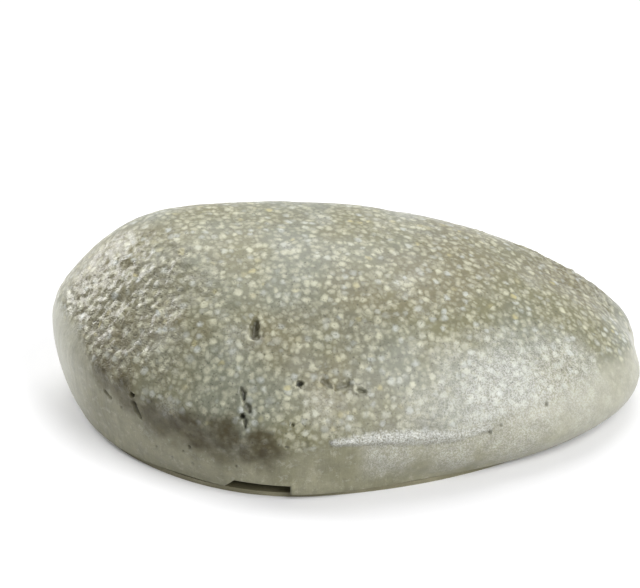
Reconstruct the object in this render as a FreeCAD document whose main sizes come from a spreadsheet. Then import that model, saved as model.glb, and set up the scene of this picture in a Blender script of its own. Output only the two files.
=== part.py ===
# Hide a key rock: a hollow cast stone that tips back on a hinge at the rear
# of a thin base plate. The base carries a lined tray for a spare key, and two
# pairs of magnets hold the stone shut.
# Millimetres. X runs along the stone with the blunt end at -X, the front is
# at -Y, Z is up, and the origin is under the middle of the stone.

import FreeCAD, Part
import Sketcher
import os
from math import cos, sin, pi, radians

vector = FreeCAD.Vector
doc = FreeCAD.newDocument("HideAKeyRock")

# ---------------------------------------------------------------- sizes

sheet = doc.addObject("Spreadsheet::Sheet", "Sizes")

sizes = [
    # outside of the stone
    ("stone_length", 132.0),
    ("stone_width", 80.0),
    ("stone_height", 43.0),
    # the widest station of the outline, from the blunt end and from the back
    ("blunt_reach", 53.3),
    ("back_reach", 30.0),
    # the top of the dome, measured from the widest station
    ("crown_to_blunt", 25.4),
    ("crown_to_back", 0.4),
    # height of the belly line at either end
    ("blunt_belly", 20.3),
    ("tapered_belly", 7.8),
    # how far the stone is tucked in below its belly line
    ("blunt_tuck", 5.6),
    ("tapered_tuck", 4.3),
    ("front_tuck", 0.9),
    ("back_tuck", 2.5),
    # fullness of the outline: 2 is an ellipse, more is squarer
    ("back_tapered_fullness", 2.7),
    ("back_blunt_fullness", 2.35),
    ("front_blunt_fullness", 1.6),
    ("front_tapered_fullness", 2.4),
    ("rim_fullness", 1.9),
    # roundness of the dome over either end, and from belly to crown
    ("blunt_roundness", 1.15),
    ("tapered_roundness", 0.83),
    ("dome_roundness", 1.5),
    # casting
    ("wall", 5.0),
    ("roof", 5.0),
    # a hole that follows the piece pressed or screwed into it
    ("close_fit", 0.01),
    # how far a cutting shape runs past the piece it cuts
    ("overshoot", 1.0),
    # base plate
    ("flange_thickness", 1.0),
    ("flange_inset", 0.2),
    ("seam_gap", 0.2),
    ("platform_height", 2.5),
    # weather seal round the platform
    ("seal_width", 1.2),
    ("seal_height", 1.2),
    ("seal_clearance", 0.9),
    ("seal_seat", 0.1),
    # finger notch in the front of the rim
    ("notch_width", 14.8),
    ("notch_height", 2.2),
    ("notch_depth", 2.6),
    ("notch_slant", 3.0),
    ("notch_to_blunt", 11.7),
    # hinge
    ("pin_radius", 0.9),
    ("pin_head_radius", 1.4),
    ("pin_head_length", 0.8),
    ("pin_play", 0.05),
    ("barrel_radius", 2.0),
    ("barrel_lift", 0.3),
    ("knuckle_length", 6.0),
    ("leaf_knuckle_length", 8.0),
    ("knuckle_gap", 0.3),
    ("knuckle_foot", 1.8),
    ("leaf_thickness", 1.5),
    ("leaf_rise", 0.9),
    ("leaf_reach", 15.0),
    ("leaf_width", 22.0),
    ("leaf_clearance", 0.5),
    ("leaf_screw_spacing", 13.0),
    ("leaf_screw_inset", 4.5),
    ("hinge_block_margin", 2.0),
    ("hinge_block_height", 8.0),
    # countersunk screws of the leaf and the brass inserts they turn in
    ("leaf_screw_radius", 1.0),
    ("leaf_screw_head_radius", 2.0),
    ("leaf_screw_head_height", 1.1),
    ("leaf_screw_length", 6.0),
    ("insert_radius", 1.9),
    ("insert_length", 5.0),
    ("insert_seat_slack", 0.9),
    ("insert_groove", 0.25),
    ("insert_groove_length", 0.8),
    # key tray
    ("tray_blunt_margin", 21.0),
    ("tray_tapered_margin", 23.0),
    ("tray_front_margin", 15.0),
    ("tray_back_margin", 4.0),
    ("tray_depth", 9.0),
    ("tray_wall", 1.8),
    ("tray_floor", 1.8),
    ("tray_corner", 6.0),
    ("thumb_scoop_radius", 9.0),
    ("thumb_scoop_drop", 5.0),
    # pan-head screws of the tray
    ("tray_screw_inset", 4.6),
    ("tray_screw_radius", 1.1),
    ("tray_screw_head_radius", 2.1),
    ("tray_screw_head_height", 1.3),
    ("tray_screw_bite", 2.4),
    ("screw_play", 0.15),
    ("drive_across", 1.5),
    ("drive_depth", 0.6),
    # foam
    ("liner_thickness", 1.5),
    ("liner_gap", 0.4),
    ("liner_hole_play", 0.6),
    ("pad_over_tray", 1.0),
    # magnets
    ("magnet_radius", 2.5),
    ("magnet_thickness", 2.0),
    ("magnet_play", 0.1),
    ("magnet_margin", 0.5),
    ("magnet_post_radius", 4.2),
    # degrees round the rim, from the tapered end by way of the back
    ("magnet_left_station", 252.0),
    ("magnet_right_station", 305.0),
]

for row, (name, value) in enumerate(sizes, start=1):
    sheet.set(f"A{row}", name)
    sheet.set(f"B{row}", str(value))
    sheet.setAlias(f"B{row}", name)
doc.recompute()


def size(name):
    return float(sheet.get(name))


def bind(piece, **expressions):
    """Tie properties of a piece to the sheet, one expression each."""
    for name, expression in expressions.items():
        piece.setExpression(name.replace("__", "."), expression)
    return piece


# ---------------------------------------------------------------- places

# Further cells, worked out from the sizes above.

places = [
    ("station_x", "=blunt_reach - stone_length / 2"),
    ("station_y", "=stone_width / 2 - back_reach"),
    ("rim_height", "=flange_thickness + seam_gap"),
    ("platform_top", "=flange_thickness + platform_height"),
    ("front_reach", "=stone_width - back_reach"),
    ("tapered_reach", "=stone_length - blunt_reach"),
    # the hinge line lies on the rearmost point of the rim
    ("hinge_y", "=station_y + back_reach - back_tuck"),
    ("hinge_z", "=flange_thickness + barrel_lift + barrel_radius"),
    ("leaf_bottom", "=hinge_z + barrel_radius - leaf_thickness + leaf_rise"),
    ("leaf_top", "=leaf_bottom + leaf_thickness"),
    ("hinge_length", "=leaf_knuckle_length + 2 * knuckle_length + 2 * knuckle_gap"),
    ("leaf_screw_y", "=hinge_y - leaf_reach + leaf_screw_inset"),
    # the room inside the rim, from end to end and from the front to the hinge
    ("room_blunt_x", "=-stone_length / 2 + blunt_tuck + wall"),
    ("room_tapered_x", "=stone_length / 2 - tapered_tuck - wall"),
    ("room_front_y", "=-stone_width / 2 + front_tuck + wall"),
    ("room_back_y", "=hinge_y - leaf_reach - hinge_block_margin"),
    ("tray_left_x", "=room_blunt_x + tray_blunt_margin"),
    ("tray_right_x", "=room_tapered_x - tray_tapered_margin"),
    ("tray_front_y", "=room_front_y + tray_front_margin"),
    ("tray_back_y", "=room_back_y - tray_back_margin"),
    ("tray_length", "=tray_right_x - tray_left_x"),
    ("tray_width", "=tray_back_y - tray_front_y"),
    ("tray_x", "=(tray_left_x + tray_right_x) / 2"),
    ("tray_y", "=(tray_front_y + tray_back_y) / 2"),
    ("tray_screw_x", "=tray_length / 2 - tray_wall - tray_screw_inset"),
    ("tray_screw_y", "=tray_width / 2 - tray_wall - tray_screw_inset"),
    ("tray_base", "=platform_top"),
    ("tray_inside", "=platform_top + tray_floor"),
    ("tray_rim", "=platform_top + tray_floor + tray_depth"),
]

for row, (name, formula) in enumerate(places, start=len(sizes) + 2):
    sheet.set(f"A{row}", name)
    sheet.set(f"B{row}", formula)
    sheet.setAlias(f"B{row}", name)
doc.recompute()

# ---------------------------------------------------------------- stone form

outline_points = 40
skin_rows = 16
profile_steps = 80
# degrees of arc from the belly line down to the rim, and up to the crown
tuck_sweep = 65.0
dome_top = 86.0
cavity_top = 70.0
pad_top = 75.0


def egg(angle, blunt, tapered, front, back, fullness):
    """A point on an outline of four quarter ovals, from the widest station."""
    c = cos(angle)
    s = sin(angle)
    reach_x = tapered if c > 0 else blunt
    reach_y = back if s > 0 else front
    radius = (abs(c / reach_x) ** fullness + abs(s / reach_y) ** fullness) ** (-1 / fullness)
    return radius * c, radius * s


def belly_point(angle, inset):
    at_back = blend(angle, size("back_blunt_fullness"), size("back_tapered_fullness"))
    at_front = blend(angle, size("front_blunt_fullness"), size("front_tapered_fullness"))
    to_back = 0.5 + 0.5 * sin(angle)
    fullness = at_back * to_back + at_front * (1 - to_back)
    return egg(
        angle,
        size("blunt_reach") - inset,
        size("tapered_reach") - inset,
        size("front_reach") - inset,
        size("back_reach") - inset,
        fullness,
    )


def rim_point(angle, inset):
    return egg(
        angle,
        size("blunt_reach") - size("blunt_tuck") - inset,
        size("tapered_reach") - size("tapered_tuck") - inset,
        size("front_reach") - size("front_tuck") - inset,
        size("back_reach") - size("back_tuck") - inset,
        size("rim_fullness"),
    )


def blend(angle, at_blunt, at_tapered):
    share = 0.5 + 0.5 * cos(angle)
    return at_blunt * (1 - share) + at_tapered * share


def below_belly(angle, share, inset):
    """A point from the rim (share 0) up to the belly line (share 1)."""
    sweep = radians(tuck_sweep) * (1 - share)
    belly_x, belly_y = belly_point(angle, inset)
    rim_x, rim_y = rim_point(angle, inset)
    belly_z = blend(angle, size("blunt_belly"), size("tapered_belly"))
    inward = (1 - cos(sweep)) / (1 - cos(radians(tuck_sweep)))
    down = sin(sweep) / sin(radians(tuck_sweep))
    x = belly_x + (rim_x - belly_x) * inward
    y = belly_y + (rim_y - belly_y) * inward
    return vector(x, y, belly_z * (1 - down))


def above_belly(angle, share, inset, top_z, top_sweep):
    """A point from the belly line (share 0) up to the crown (share 1)."""
    sweep = radians(top_sweep) * share
    belly_x, belly_y = belly_point(angle, inset)
    belly_z = blend(angle, size("blunt_belly"), size("tapered_belly"))
    round_end = blend(angle, size("blunt_roundness"), size("tapered_roundness"))
    out = cos(sweep) ** round_end
    up = (sin(sweep) / sin(radians(top_sweep))) ** size("dome_roundness")
    x = -size("crown_to_blunt") * (1 - out) + belly_x * out
    y = size("crown_to_back") * (1 - out) + belly_y * out
    return vector(x, y, belly_z + (top_z - belly_z) * up)


def profile(angle, inset, top_z, top_sweep):
    """Points evenly spaced along the stone's skin, from the rim to the crown."""
    shares = [step / profile_steps for step in range(profile_steps + 1)]
    track = [below_belly(angle, share, inset) for share in shares]
    track += [above_belly(angle, share, inset, top_z, top_sweep) for share in shares[1:]]
    reached = [0.0]
    for start, end in zip(track, track[1:]):
        reached.append(reached[-1] + (end - start).Length)
    points = [track[0]]
    step = 0
    for row in range(1, skin_rows - 1):
        wanted = reached[-1] * row / (skin_rows - 1)
        while reached[step + 1] < wanted:
            step += 1
        share = (wanted - reached[step]) / (reached[step + 1] - reached[step])
        points.append(track[step] + (track[step + 1] - track[step]) * share)
    return points + [track[-1]]


def closed_outline(name, points):
    """A smooth closed outline through points given from the widest station."""
    count = len(points)
    curve = Part.BSplineCurve()
    curve.interpolate(
        Points=points,
        PeriodicFlag=True,
        Parameters=[step / count for step in range(count + 1)],
    )
    outline = doc.addObject("Part::Feature", name)
    outline.Shape = Part.Wire([curve.toShape()])
    outline.Placement.Base = vector(size("station_x"), size("station_y"), 0)
    return outline


angles = [2 * pi * step / outline_points for step in range(outline_points)]


def stone_form(name, inset, top_z, top_sweep):
    """A closed pebble, lofted through outlines from its rim to its crown."""
    profiles = [profile(angle, inset, top_z, top_sweep) for angle in angles]
    sections = [
        closed_outline(f"{name}_row_{row}", list(points))
        for row, points in enumerate(zip(*profiles), start=1)
    ]
    form = doc.addObject("Part::Loft", name)
    form.Sections = sections
    form.Solid = True
    form.Ruled = False
    return form


def rim_outline(name, inset):
    return closed_outline(name, [vector(*rim_point(angle, inset), 0) for angle in angles])


def slab(name, outline, thickness, base=None):
    """The area inside an outline, raised to a thickness."""
    raised = doc.addObject("Part::Extrusion", name)
    raised.Base = outline
    raised.DirMode = "Custom"
    raised.Dir = vector(0, 0, 1)
    raised.Solid = True
    bind(raised, LengthFwd=thickness)
    if base:
        bind(raised, Placement__Base__z=base)
    return raised


def box(name, length, width, height, x, y, z):
    """A box centred on x and y, standing on z."""
    block = doc.addObject("Part::Box", name)
    bind(block, Length=length, Width=width, Height=height)
    bind(
        block,
        Placement__Base__x=f"{x} - ({length}) / 2",
        Placement__Base__y=f"{y} - ({width}) / 2",
        Placement__Base__z=z,
    )
    return block


def upright(name, radius, height, x, y, z):
    """A cylinder along Z, standing on z."""
    round_bar = doc.addObject("Part::Cylinder", name)
    bind(round_bar, Radius=radius, Height=height)
    bind(round_bar, Placement__Base__x=x, Placement__Base__y=y, Placement__Base__z=z)
    return round_bar


def crosswise(name, radius, length, start_x):
    """A cylinder along the hinge line, from start_x."""
    round_bar = doc.addObject("Part::Cylinder", name)
    round_bar.Placement = FreeCAD.Placement(
        vector(), FreeCAD.Rotation(vector(0, 1, 0), 90)
    )
    bind(round_bar, Radius=radius, Height=length)
    bind(
        round_bar,
        Placement__Base__x=start_x,
        Placement__Base__y="Sizes.hinge_y",
        Placement__Base__z="Sizes.hinge_z",
    )
    return round_bar


def joined(name, pieces):
    union = doc.addObject("Part::MultiFuse", name)
    union.Shapes = pieces
    return union


def cut(name, base, tools):
    difference = doc.addObject("Part::Cut", name)
    difference.Base = base
    difference.Tool = tools[0] if len(tools) == 1 else joined(name + "_tools", tools)
    return difference


seal_outer_inset = size("wall") + size("seal_clearance")
seal_inner_inset = seal_outer_inset + size("seal_width")
magnet_inset = seal_inner_inset + size("magnet_margin") + size("magnet_radius")
magnet_places = {
    side: rim_point(radians(size(f"magnet_{side}_station")), magnet_inset)
    for side in ("left", "right")
}


def magnet_x(side):
    return f"Sizes.station_x + {magnet_places[side][0]:.4f}"


def magnet_y(side):
    return f"Sizes.station_y + {magnet_places[side][1]:.4f}"


# ---------------------------------------------------------------- part design

def origin_plane(body, role):
    return next(plane for plane in body.Origin.OriginFeatures if plane.Role == role)


def sketch_on(body, name, role, lift=None):
    """A sketch on one of the body's own planes, raised by an expression."""
    sketch = body.newObject("Sketcher::SketchObject", name)
    sketch.AttachmentSupport = [(origin_plane(body, role), "")]
    sketch.MapMode = "FlatFace"
    if lift:
        sketch.setExpression("AttachmentOffset.Base.z", lift)
    return sketch


def rectangle(sketch, length, width):
    """A rectangle centred on the sketch's origin, tied to two expressions."""
    # drawn roughly at first, and the constraints give its size
    rough_x = 9
    rough_y = 5
    corners = [(-rough_x, -rough_y), (rough_x, -rough_y), (rough_x, rough_y), (-rough_x, rough_y)]
    for start, end in zip(corners, corners[1:] + corners[:1]):
        sketch.addGeometry(Part.LineSegment(vector(*start, 0), vector(*end, 0)))
    for side in range(4):
        sketch.addConstraint(Sketcher.Constraint("Coincident", side, 2, (side + 1) % 4, 1))
    for side in (0, 2):
        sketch.addConstraint(Sketcher.Constraint("Horizontal", side))
    for side in (1, 3):
        sketch.addConstraint(Sketcher.Constraint("Vertical", side))
    sketch.addConstraint(Sketcher.Constraint("Symmetric", 0, 1, 2, 1, -1, 1))
    across = sketch.addConstraint(Sketcher.Constraint("DistanceX", 0, 1, 0, 2, 2 * rough_x))
    along = sketch.addConstraint(Sketcher.Constraint("DistanceY", 1, 1, 1, 2, 2 * rough_y))
    sketch.setExpression(f"Constraints[{across}]", length)
    sketch.setExpression(f"Constraints[{along}]", width)


def circles(sketch, radius, centres):
    """Circles of one radius, each at a pair of expressions for its centre."""
    for index, (x, y) in enumerate(centres):
        rough_centre = vector(3 * index, 2, 0)
        sketch.addGeometry(Part.Circle(rough_centre, vector(0, 0, 1), 1))
        bore = sketch.addConstraint(Sketcher.Constraint("Radius", index, 1))
        sketch.setExpression(f"Constraints[{bore}]", radius)
        for axis, place in (("DistanceX", x), ("DistanceY", y)):
            held = sketch.addConstraint(Sketcher.Constraint(axis, -1, 1, index, 3, 1))
            sketch.setExpression(f"Constraints[{held}]", place)


def padded(body, name, sketch, length):
    pad = body.newObject("PartDesign::Pad", name)
    pad.Profile = sketch
    bind(pad, Length=length)
    return pad


def pocketed(body, name, sketch, length=None, upward=True):
    """A pocket up or down from its sketch, through all if it has no length."""
    pocket = body.newObject("PartDesign::Pocket", name)
    pocket.Profile = sketch
    pocket.Reversed = upward
    if length:
        pocket.Type = "Length"
        bind(pocket, Length=length)
    else:
        pocket.Type = "ThroughAll"
    return pocket


same_place = 1e-6


def upright_edges(feature, within_x=None, within_y=None):
    """Names of the straight upright edges, all or only those within a rectangle."""
    names = []
    for number, edge in enumerate(feature.Shape.Edges, start=1):
        if len(edge.Vertexes) != 2:
            continue
        start, end = (corner.Point for corner in edge.Vertexes)
        if abs(start.x - end.x) > same_place or abs(start.y - end.y) > same_place:
            continue
        if within_x is None or (abs(start.x) < within_x and abs(start.y) < within_y):
            names.append(f"Edge{number}")
    return names


def rounded(body, name, base, edges, radius):
    fillet = body.newObject("PartDesign::Fillet", name)
    fillet.Base = (base, edges)
    bind(fillet, Radius=radius)
    return fillet


def worked_out(body, value):
    return body.evalExpression(value) if isinstance(value, str) else value


def turned(body, name, points):
    """A revolved piece about Z from a closed outline of (r, z) expressions."""
    sketch = sketch_on(body, name + "_profile", "XZ_Plane")
    count = len(points)
    # the outline is drawn roughly first, and the constraints give its size
    values = [tuple(worked_out(body, value) for value in point) for point in points]
    for start, end in zip(values, values[1:] + values[:1]):
        sketch.addGeometry(
            Part.LineSegment(vector(start[0], start[1], 0), vector(end[0], end[1], 0))
        )
    for side in range(count):
        sketch.addConstraint(
            Sketcher.Constraint("Coincident", side, 2, (side + 1) % count, 1)
        )
    for corner, (r, z) in enumerate(points):
        if r == 0:
            sketch.addConstraint(Sketcher.Constraint("PointOnObject", corner, 1, -2))
        else:
            held = sketch.addConstraint(
                Sketcher.Constraint("DistanceX", -1, 1, corner, 1, values[corner][0])
            )
            sketch.setExpression(f"Constraints[{held}]", r)
        if z == 0:
            sketch.addConstraint(Sketcher.Constraint("PointOnObject", corner, 1, -1))
        else:
            held = sketch.addConstraint(
                Sketcher.Constraint("DistanceY", -1, 1, corner, 1, values[corner][1])
            )
            sketch.setExpression(f"Constraints[{held}]", z)
    revolution = body.newObject("PartDesign::Revolution", name)
    revolution.Profile = sketch
    revolution.ReferenceAxis = (sketch, ["V_Axis"])
    revolution.Angle = 360
    return revolution


def body_at(label, x=None, y=None, z=None):
    body = doc.addObject("PartDesign::Body", label)
    body.Label = label
    for axis, place in (("x", x), ("y", y), ("z", z)):
        if place:
            body.setExpression(f"Placement.Base.{axis}", place)
    return body


parts = []


def finished(piece, label):
    piece.Label = label
    parts.append(piece)
    return piece


# ---------------------------------------------------------------- rock shell

pebble = stone_form("stone_pebble", 0, size("stone_height"), dome_top)
under_rim = box(
    "under_rim",
    "2 * Sizes.stone_length",
    "2 * Sizes.stone_width",
    "Sizes.stone_height",
    "0",
    "0",
    "Sizes.rim_height - Sizes.stone_height",
)
outside = cut("stone_outside", pebble, [under_rim])
cavity = stone_form("stone_cavity", size("wall"), size("stone_height") - size("roof"), cavity_top)

posts = [
    upright(
        f"magnet_post_{side}",
        "Sizes.magnet_post_radius",
        "Sizes.stone_height - Sizes.platform_top",
        magnet_x(side),
        magnet_y(side),
        "Sizes.platform_top",
    )
    for side in ("left", "right")
]
hinge_block = box(
    "hinge_block",
    "Sizes.leaf_width + 2 * Sizes.hinge_block_margin",
    "Sizes.leaf_reach + Sizes.hinge_block_margin",
    "Sizes.hinge_block_height",
    "Sizes.station_x",
    "Sizes.hinge_y - (Sizes.leaf_reach + Sizes.hinge_block_margin) / 2",
    "Sizes.leaf_top",
)
room = cut("stone_room", cavity, posts + [hinge_block])

hinge_pocket = box(
    "hinge_pocket",
    "Sizes.leaf_width + 2 * Sizes.leaf_clearance",
    "2 * Sizes.wall + 2 * Sizes.leaf_clearance",
    "Sizes.leaf_top",
    "Sizes.station_x",
    "Sizes.hinge_y",
    "0",
)

notch_outer = slab(
    "notch_outer", rim_outline("notch_outer_line", -size("notch_depth")), "Sizes.stone_height"
)
notch_inner = slab(
    "notch_inner", rim_outline("notch_inner_line", size("notch_depth")), "Sizes.stone_height"
)
notch_band = cut("notch_band", notch_outer, [notch_inner])
notch_wedge = doc.addObject("Part::Wedge", "notch_wedge")
notch_wedge.Placement.Rotation = FreeCAD.Rotation(vector(1, 0, 0), 90)
bind(
    notch_wedge,
    Xmin="-Sizes.notch_width / 2",
    Xmax="Sizes.notch_width / 2",
    Ymin="0",
    Ymax="Sizes.rim_height + Sizes.notch_height",
    Zmin="0",
    Zmax="Sizes.front_reach",
    X2min="Sizes.notch_slant - Sizes.notch_width / 2",
    X2max="Sizes.notch_width / 2",
    Z2min="0",
    Z2max="Sizes.front_reach",
    Placement__Base__x="Sizes.station_x - Sizes.notch_to_blunt",
    Placement__Base__y="Sizes.station_y - Sizes.front_reach / 2",
)
notch = doc.addObject("Part::Common", "notch")
notch.Base = notch_band
notch.Tool = notch_wedge

shell_magnet_seats = [
    upright(
        f"shell_magnet_seat_{side}",
        "Sizes.magnet_radius + Sizes.magnet_play",
        "Sizes.magnet_thickness",
        magnet_x(side),
        magnet_y(side),
        "Sizes.platform_top",
    )
    for side in ("left", "right")
]


def leaf_screw_x(number):
    return f"Sizes.station_x + {2 * number - 3} * Sizes.leaf_screw_spacing / 2"


insert_seats = [
    upright(
        f"insert_seat_{number}",
        "Sizes.insert_radius + Sizes.close_fit",
        "Sizes.insert_length + Sizes.insert_seat_slack",
        leaf_screw_x(number),
        "Sizes.leaf_screw_y",
        "Sizes.leaf_top",
    )
    for number in (1, 2)
]
rock_shell = cut(
    "rock_shell", outside, [room, hinge_pocket, notch] + shell_magnet_seats + insert_seats
)
finished(rock_shell, "rock_shell")

# ---------------------------------------------------------------- base plate

flange = slab(
    "flange", rim_outline("flange_line", size("flange_inset")), "Sizes.flange_thickness"
)
platform = slab(
    "platform",
    rim_outline("platform_line", seal_inner_inset + size("seal_seat")),
    "Sizes.platform_top",
)

knuckles = []
for side, start in (
    ("left", "Sizes.station_x - Sizes.hinge_length / 2"),
    ("right", "Sizes.station_x + Sizes.hinge_length / 2 - Sizes.knuckle_length"),
):
    knuckles.append(
        crosswise(f"knuckle_{side}", "Sizes.barrel_radius", "Sizes.knuckle_length", start)
    )
    knuckles.append(
        box(
            f"knuckle_foot_{side}",
            "Sizes.knuckle_length",
            "Sizes.knuckle_foot",
            "Sizes.hinge_z",
            f"{start} + Sizes.knuckle_length / 2",
            "Sizes.hinge_y - Sizes.flange_inset - Sizes.knuckle_foot / 2",
            "0",
        )
    )
plate = joined("plate", [flange, platform] + knuckles)

pin_bore = crosswise(
    "pin_bore",
    "Sizes.pin_radius + Sizes.close_fit",
    "Sizes.hinge_length + 2 * Sizes.overshoot",
    "Sizes.station_x - Sizes.hinge_length / 2 - Sizes.overshoot",
)
base_magnet_seats = [
    upright(
        f"base_magnet_seat_{side}",
        "Sizes.magnet_radius + Sizes.magnet_play",
        "Sizes.magnet_thickness",
        magnet_x(side),
        magnet_y(side),
        "Sizes.platform_top - Sizes.magnet_thickness",
    )
    for side in ("left", "right")
]
tray_screw_places = [
    (across * 2 - 1, along * 2 - 1) for along in (0, 1) for across in (0, 1)
]
pilot_holes = [
    upright(
        f"pilot_hole_{number}",
        "Sizes.tray_screw_radius + Sizes.close_fit",
        "Sizes.tray_screw_bite",
        f"Sizes.tray_x + {across} * Sizes.tray_screw_x",
        f"Sizes.tray_y + {along} * Sizes.tray_screw_y",
        "Sizes.platform_top - Sizes.tray_screw_bite",
    )
    for number, (across, along) in enumerate(tray_screw_places, start=1)
]
base_plate = cut("base_plate", plate, [pin_bore] + base_magnet_seats + pilot_holes)
finished(base_plate, "base_plate")

# ---------------------------------------------------------------- rim seal

seal_outer = slab(
    "seal_outer",
    rim_outline("seal_outer_line", seal_outer_inset),
    "Sizes.seal_height",
    "Sizes.flange_thickness",
)
seal_inner = slab(
    "seal_inner",
    rim_outline("seal_inner_line", seal_inner_inset),
    "Sizes.seal_height + 2 * Sizes.overshoot",
    "Sizes.flange_thickness - Sizes.overshoot",
)
finished(cut("rim_seal", seal_outer, [seal_inner]), "rim_seal")

# ---------------------------------------------------------------- hinge

pin = joined(
    "hinge_pin",
    [
        crosswise(
            "pin_shaft",
            "Sizes.pin_radius",
            "Sizes.hinge_length",
            "Sizes.station_x - Sizes.hinge_length / 2",
        ),
        crosswise(
            "pin_head_left",
            "Sizes.pin_head_radius",
            "Sizes.pin_head_length",
            "Sizes.station_x - Sizes.hinge_length / 2 - Sizes.pin_head_length",
        ),
        crosswise(
            "pin_head_right",
            "Sizes.pin_head_radius",
            "Sizes.pin_head_length",
            "Sizes.station_x + Sizes.hinge_length / 2",
        ),
    ],
)
finished(pin, "hinge_pin")

leaf_barrel = crosswise(
    "leaf_barrel",
    "Sizes.barrel_radius",
    "Sizes.leaf_knuckle_length",
    "Sizes.station_x - Sizes.leaf_knuckle_length / 2",
)
leaf_tongue = box(
    "leaf_tongue",
    "Sizes.leaf_knuckle_length",
    "Sizes.leaf_reach",
    "Sizes.leaf_thickness",
    "Sizes.station_x",
    "Sizes.hinge_y - Sizes.leaf_reach / 2",
    "Sizes.leaf_bottom",
)
leaf_wing_reach = "(Sizes.leaf_reach - Sizes.barrel_radius - Sizes.leaf_clearance)"
leaf_wing = box(
    "leaf_wing",
    "Sizes.leaf_width",
    leaf_wing_reach,
    "Sizes.leaf_thickness",
    "Sizes.station_x",
    f"Sizes.hinge_y - Sizes.leaf_reach + {leaf_wing_reach} / 2",
    "Sizes.leaf_bottom",
)
leaf_bore = crosswise(
    "leaf_bore",
    "Sizes.pin_radius + Sizes.pin_play",
    "Sizes.leaf_knuckle_length + 2 * Sizes.overshoot",
    "Sizes.station_x - Sizes.leaf_knuckle_length / 2 - Sizes.overshoot",
)
screw_holes = []
for number in (1, 2):
    screw_holes.append(
        upright(
            f"leaf_hole_{number}",
            "Sizes.leaf_screw_radius + Sizes.screw_play",
            "Sizes.leaf_thickness",
            leaf_screw_x(number),
            "Sizes.leaf_screw_y",
            "Sizes.leaf_bottom",
        )
    )
    sink = doc.addObject("Part::Cone", f"leaf_countersink_{number}")
    bind(
        sink,
        Radius1="Sizes.leaf_screw_head_radius + Sizes.screw_play",
        Radius2="Sizes.leaf_screw_radius + Sizes.screw_play",
        Height="Sizes.leaf_screw_head_height",
        Placement__Base__x=leaf_screw_x(number),
        Placement__Base__y="Sizes.leaf_screw_y",
        Placement__Base__z="Sizes.leaf_bottom",
    )
    screw_holes.append(sink)
leaf = joined("leaf", [leaf_barrel, leaf_tongue, leaf_wing])
finished(cut("hinge_leaf", leaf, [leaf_bore] + screw_holes), "hinge_leaf")

for number in (1, 2):
    label = f"leaf_screw_{number}"
    screw = body_at(label, leaf_screw_x(number), "Sizes.leaf_screw_y", "Sizes.leaf_bottom")
    turned(
        screw,
        label,
        [
            (0, 0),
            ("Sizes.leaf_screw_head_radius", 0),
            ("Sizes.leaf_screw_radius", "Sizes.leaf_screw_head_height"),
            ("Sizes.leaf_screw_radius", "Sizes.leaf_screw_length"),
            (0, "Sizes.leaf_screw_length"),
        ],
    )
    drive = sketch_on(screw, label + "_drive", "XY_Plane")
    rectangle(drive, "Sizes.drive_across", "Sizes.drive_across")
    pocketed(screw, label + "_socket", drive, "Sizes.drive_depth")
    finished(screw, label)

    label = f"leaf_insert_{number}"
    insert = body_at(label, leaf_screw_x(number), "Sizes.leaf_screw_y", "Sizes.leaf_top")
    groove_start = "(Sizes.insert_length - Sizes.insert_groove_length) / 2"
    groove_end = "(Sizes.insert_length + Sizes.insert_groove_length) / 2"
    turned(
        insert,
        label,
        [
            ("Sizes.leaf_screw_radius + Sizes.close_fit", 0),
            ("Sizes.insert_radius", 0),
            ("Sizes.insert_radius", groove_start),
            ("Sizes.insert_radius - Sizes.insert_groove", groove_start),
            ("Sizes.insert_radius - Sizes.insert_groove", groove_end),
            ("Sizes.insert_radius", groove_end),
            ("Sizes.insert_radius", "Sizes.insert_length"),
            ("Sizes.leaf_screw_radius + Sizes.close_fit", "Sizes.insert_length"),
        ],
    )
    finished(insert, label)

# ---------------------------------------------------------------- magnets

for side in ("left", "right"):
    for owner, bottom in (
        ("base", "Sizes.platform_top - Sizes.magnet_thickness"),
        ("shell", "Sizes.platform_top"),
    ):
        label = f"{owner}_magnet_{side}"
        magnet = upright(
            label,
            "Sizes.magnet_radius",
            "Sizes.magnet_thickness",
            magnet_x(side),
            magnet_y(side),
            bottom,
        )
        finished(magnet, label)

# ---------------------------------------------------------------- key tray

tray = body_at("key_tray", "Sizes.tray_x", "Sizes.tray_y", "Sizes.tray_base")
tray_outline = sketch_on(tray, "tray_outline", "XY_Plane")
rectangle(tray_outline, "Sizes.tray_length", "Sizes.tray_width")
tray_block = padded(tray, "tray_block", tray_outline, "Sizes.tray_floor + Sizes.tray_depth")
doc.recompute()
rounded(
    tray, "tray_corners", tray_block, upright_edges(tray_block), "Sizes.tray_corner"
)
tray_inside = sketch_on(tray, "tray_inside_outline", "XY_Plane", "Sizes.tray_floor")
rectangle(
    tray_inside,
    "Sizes.tray_length - 2 * Sizes.tray_wall",
    "Sizes.tray_width - 2 * Sizes.tray_wall",
)
tray_hollow = pocketed(tray, "tray_hollow", tray_inside)
doc.recompute()
inner_corners = upright_edges(
    tray_hollow,
    (size("tray_length") - size("tray_wall")) / 2,
    (size("tray_width") - size("tray_wall")) / 2,
)
rounded(
    tray, "tray_inner_corners", tray_hollow, inner_corners, "Sizes.tray_corner - Sizes.tray_wall"
)
tray_holes = sketch_on(tray, "tray_holes", "XY_Plane")
circles(
    tray_holes,
    "Sizes.tray_screw_radius + Sizes.screw_play",
    [
        (f"{across} * Sizes.tray_screw_x", f"{along} * Sizes.tray_screw_y")
        for across, along in tray_screw_places
    ],
)
pocketed(tray, "tray_screw_holes", tray_holes)
scoop = sketch_on(tray, "thumb_scoops", "XZ_Plane")
scoop_rough_radius = size("thumb_scoop_radius")
scoop_rough_height = size("tray_depth") + scoop_rough_radius
scoop.addGeometry(
    Part.Circle(vector(0, scoop_rough_height, 0), vector(0, 0, 1), scoop_rough_radius)
)
scoop.addConstraint(Sketcher.Constraint("PointOnObject", 0, 3, -2))
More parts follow.
